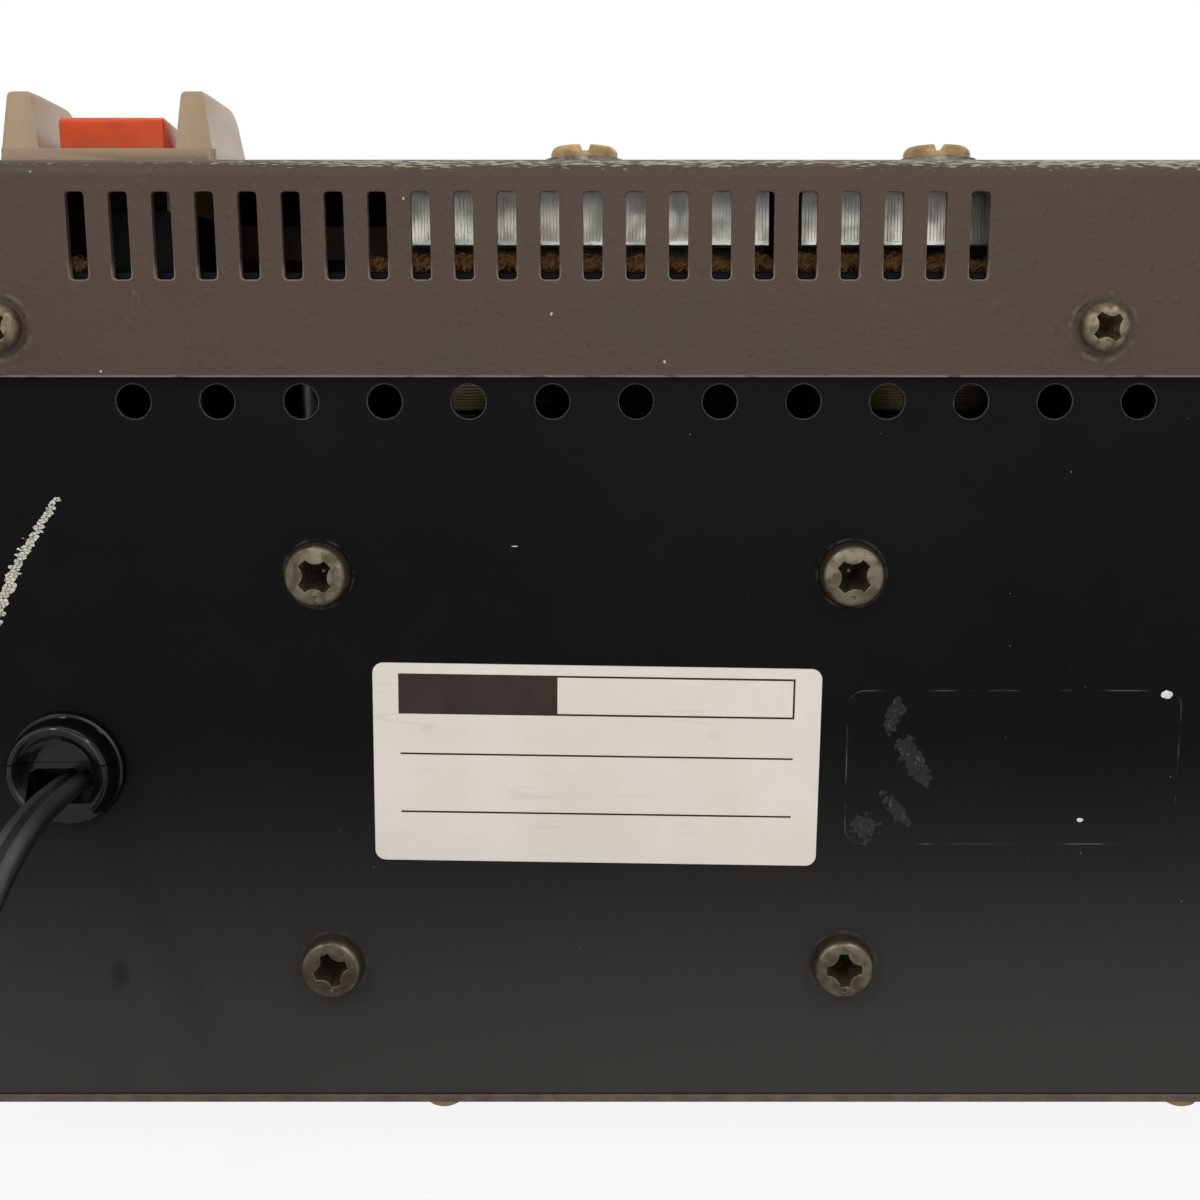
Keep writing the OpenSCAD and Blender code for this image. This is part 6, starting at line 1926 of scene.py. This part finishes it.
@dataclass
class Controls(SubAssembly):
    """Deck panel with its print, the keys, the level dials and the lamps.

    Attributes:
        line: Width of the printed lines.
        ink: Thickness of the print.
        marks: Number of marks round a dial.
        sweep: Angle from a dial's middle to its ends, in degrees.
        flutes: Number of flutes in a dial's grip.
    """

    line: float = 0.45 * MM
    ink: float = 0.02 * MM
    marks: int = 11
    sweep: float = 150.0
    flutes: int = 30

    def build(self) -> None:
        """Dresses the deck, prints it, and makes the keys and dials."""
        self.deck_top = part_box("cassette_trays")[1][2]
        self.dress(Paint.DECK, "deck_panel")
        self.dress(Paint.LAMP, "indicator_lamps")
        self.print_frames()
        for key, finish, slot in (("start_key", Paint.START, "start_plastic"),
                                  ("stop_key", Paint.KEY, "key_plastic"),
                                  ("rewind_key", Paint.KEY, "key_plastic")):
            self.soft_copy(key, 0.7 * MM, finish, slot, key)
            self.print_key(key)
        for dial in ("left_level_dial", "right_level_dial"):
            self.turn_dial(dial)
            self.print_scale(dial)

    def outline(self, shape: Shape, half_x: float, half_y: float, centre: Pair,
                corner: float) -> None:
        """Prints a rounded frame line.

        Args:
            shape: Shape that takes the line.
            half_x: Half its width.
            half_y: Half its depth.
            centre: Its middle.
            corner: Radius of its corners.
        """
        outer = rounded(half_x, half_y, corner, 6, centre)
        inner = rounded(half_x - self.line, half_y - self.line, corner - self.line, 6, centre)
        rings = []
        for edge, height in ((inner, 0.0), (outer, 0.0), (outer, self.ink), (inner, self.ink)):
            rings.append([Vector((x, y, self.deck_top + height)) for x, y in edge])
        rings.append(rings[0])
        shape.loft(rings, capped=False)
        bmesh.ops.remove_doubles(shape.mesh, verts=shape.mesh.verts, dist=1e-7)

    def print_frames(self) -> None:
        """Prints the frames round the keys and round the dials."""
        shape = Shape()
        keys = [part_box(node) for node in ("rewind_key", "start_key")]
        dials = [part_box(node) for node in ("left_level_dial", "right_level_dial")]
        middle = (keys[0][0][1] + keys[0][1][1]) / 2
        for group, margin in ((keys, 3 * MM), (dials, 7 * MM)):
            x0, x1 = group[0][0][0] - margin, group[1][1][0] + margin
            self.outline(shape, (x1 - x0) / 2, 22.5 * MM, ((x0 + x1) / 2, middle), 3 * MM)
        self.place(shape, "deck_frames", Paint.PRINT, "dial_plastic")

    def print_key(self, key: str) -> None:
        """Prints the sign of a key's task on its dished top.

        Args:
            key: Node of the key.
        """
        low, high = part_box(key)
        x, y = (low[0] + high[0]) / 2, (low[1] + high[1]) / 2
        size = 2.6 * MM
        signs = {"start_key": [((-1.0, 1.2), (-1.0, -1.2), (1.2, 0.0))],
                 "stop_key": [((-1.0, 1.0), (-1.0, -1.0), (1.0, -1.0), (1.0, 1.0))],
                 "rewind_key": [((0.0, 1.1), (-1.7, 0.0), (0.0, -1.1)),
                                ((1.7, 1.1), (0.0, 0.0), (1.7, -1.1))]}
        dish = 60 * MM
        shape = Shape()
        for corners in signs[key]:
            rings = []
            for lift in (0.01 * MM, 0.04 * MM):
                ring = []
                for a, b in zip(corners, corners[1:] + corners[:1]):
                    for step in range(6):
                        u = a[0] + (b[0] - a[0]) * step / 6
                        v = (a[1] + (b[1] - a[1]) * step / 6) * size
                        hollow = dish - sqrt(dish * dish - v * v)
                        ring.append(Vector((x + u * size, y + v,
                                            high[2] - 1.2 * MM + hollow + lift)))
                rings.append(ring)
            shape.loft(rings)
        self.place(shape, f"{key}_sign", Paint.PRINT, "dial_plastic", key)

    def turn_dial(self, dial: str) -> None:
        """Makes a dial with a fluted grip and a pale pointer.

        Args:
            dial: Node of the dial, and its body.
        """
        low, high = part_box(dial)
        centre = middle(dial)
        centre.z = 0.0
        radius = (high[0] - low[0]) / 2
        base, top = self.deck_top + 0.4 * MM, high[2]
        place = Matrix.Translation(centre)
        grip = radius - 4.0 * MM
        profile = [(CORE, low[2]), (3 * MM, low[2]), (3 * MM, base)]
        for reach, level, steps in (
                (radius, base, ((-0.4, 0.0), (0.0, 0.4), (0.0, 1.6), (-0.5, 2.1))),
                (grip, base, ((0.5, 3.2), (0.0, 4.2))),
                (grip, top, ((-0.35, -1.4), (-0.7, -0.5), (-1.4, -0.05), (-2.2, 0.0),
                             (-2.6, -0.3)))):
            profile += [(reach + out * MM, level + up * MM) for out, up in steps]
        profile.append((CORE, top - 0.3 * MM))

        def flute(height: float, angle: float) -> float:
            """Returns how far the grip's flutes reach at this height and angle."""
            held = base + 4 * MM < height < top - 1 * MM
            return -0.35 * MM * (0.5 + 0.5 * cos(angle * self.flutes)) if held else 0.0

        shape = Shape()
        shape.turned(profile, place, self.flutes * 8, flute)
        self.place(shape, f"{dial}_grip", Paint.DIAL, "dial_plastic", dial, (dial,))
        pointer = Shape()
        pointer.plate(rounded(0.55 * MM, (grip - 3.4 * MM) / 2, 0.4 * MM, 4,
                              (centre.x, centre.y + (grip + 1.0 * MM) / 2)),
                      top - 0.32 * MM, top - 0.22 * MM)
        pointer.plate(rounded(0.55 * MM, 1.3 * MM, 0.4 * MM, 4,
                              (centre.x, centre.y + radius - 2.0 * MM)), base + 1.7 * MM,
                      base + 2.18 * MM)
        self.place(pointer, f"{dial}_pointer", Paint.PALE_PRINT, "spindle_plastic", dial)

    def print_scale(self, dial: str) -> None:
        """Prints marks and numbers round a dial.

        Args:
            dial: Node of the dial.
        """
        low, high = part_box(dial)
        centre = ((low[0] + high[0]) / 2, (low[1] + high[1]) / 2)
        radius = (high[0] - low[0]) / 2
        shape = Shape()
        for mark in range(self.marks):
            angle = radians(90 + self.sweep - mark * 2 * self.sweep / (self.marks - 1))
            place = (Matrix.Translation((*centre, self.deck_top))
                     @ Matrix.Rotation(angle, 4, "Z"))
            long = 1.5 * MM if mark % 5 == 0 else 1.0 * MM
            start = radius + 0.9 * MM
            outline = [(start, -0.2 * MM), (start + long, -0.2 * MM), (start + long, 0.2 * MM),
                       (start, 0.2 * MM)]
            shape.plate(outline, 0.0, self.ink, place)
            if mark % 5 == 0:
                self.print_number(shape, str(mark), Vector((
                    centre[0] + (radius + 4.6 * MM) * cos(angle),
                    centre[1] + (radius + 4.6 * MM) * sin(angle), self.deck_top)))
        self.place(shape, f"{dial}_scale", Paint.PRINT, "dial_plastic")

    def print_number(self, shape: Shape, text: str, at: Vector) -> None:
        """Prints a plain number.

        Args:
            shape: Shape that takes the number.
            text: The number.
            at: Its middle.
        """
        data = bpy.data.curves.new("number", "FONT")
        data.body = text
        data.size = 3.2 * MM
        data.extrude = self.ink / 2
        data.align_x = "CENTER"
        data.align_y = "CENTER"
        letter = in_scene("number", data)
        graph = bpy.context.evaluated_depsgraph_get()
        mesh = bpy.data.meshes.new_from_object(letter.evaluated_get(graph))
        mesh.transform(Matrix.Translation(at + Vector((0, 0, self.ink / 2))))
        shape.mesh.from_mesh(mesh)
        bpy.data.objects.remove(letter)
        bpy.data.meshes.remove(mesh)


def main() -> None:
    """Builds the scene in order."""
    logging.basicConfig(level=logging.INFO, format="%(name)s: %(message)s")
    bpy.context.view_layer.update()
    bpy.context.scene.view_settings.view_transform = "Standard"
    PhotoCamera().build()
    Studio().build()
    for part in (MainsLead(), Case(), Fasteners(), RatingPlate(), PowerSwitch(), MainsSide(),
                 TapeDeck(), Controls()):
        part.build()
        LOG.info("%s built", type(part).__name__)


if __name__ == "__main__":
    main()
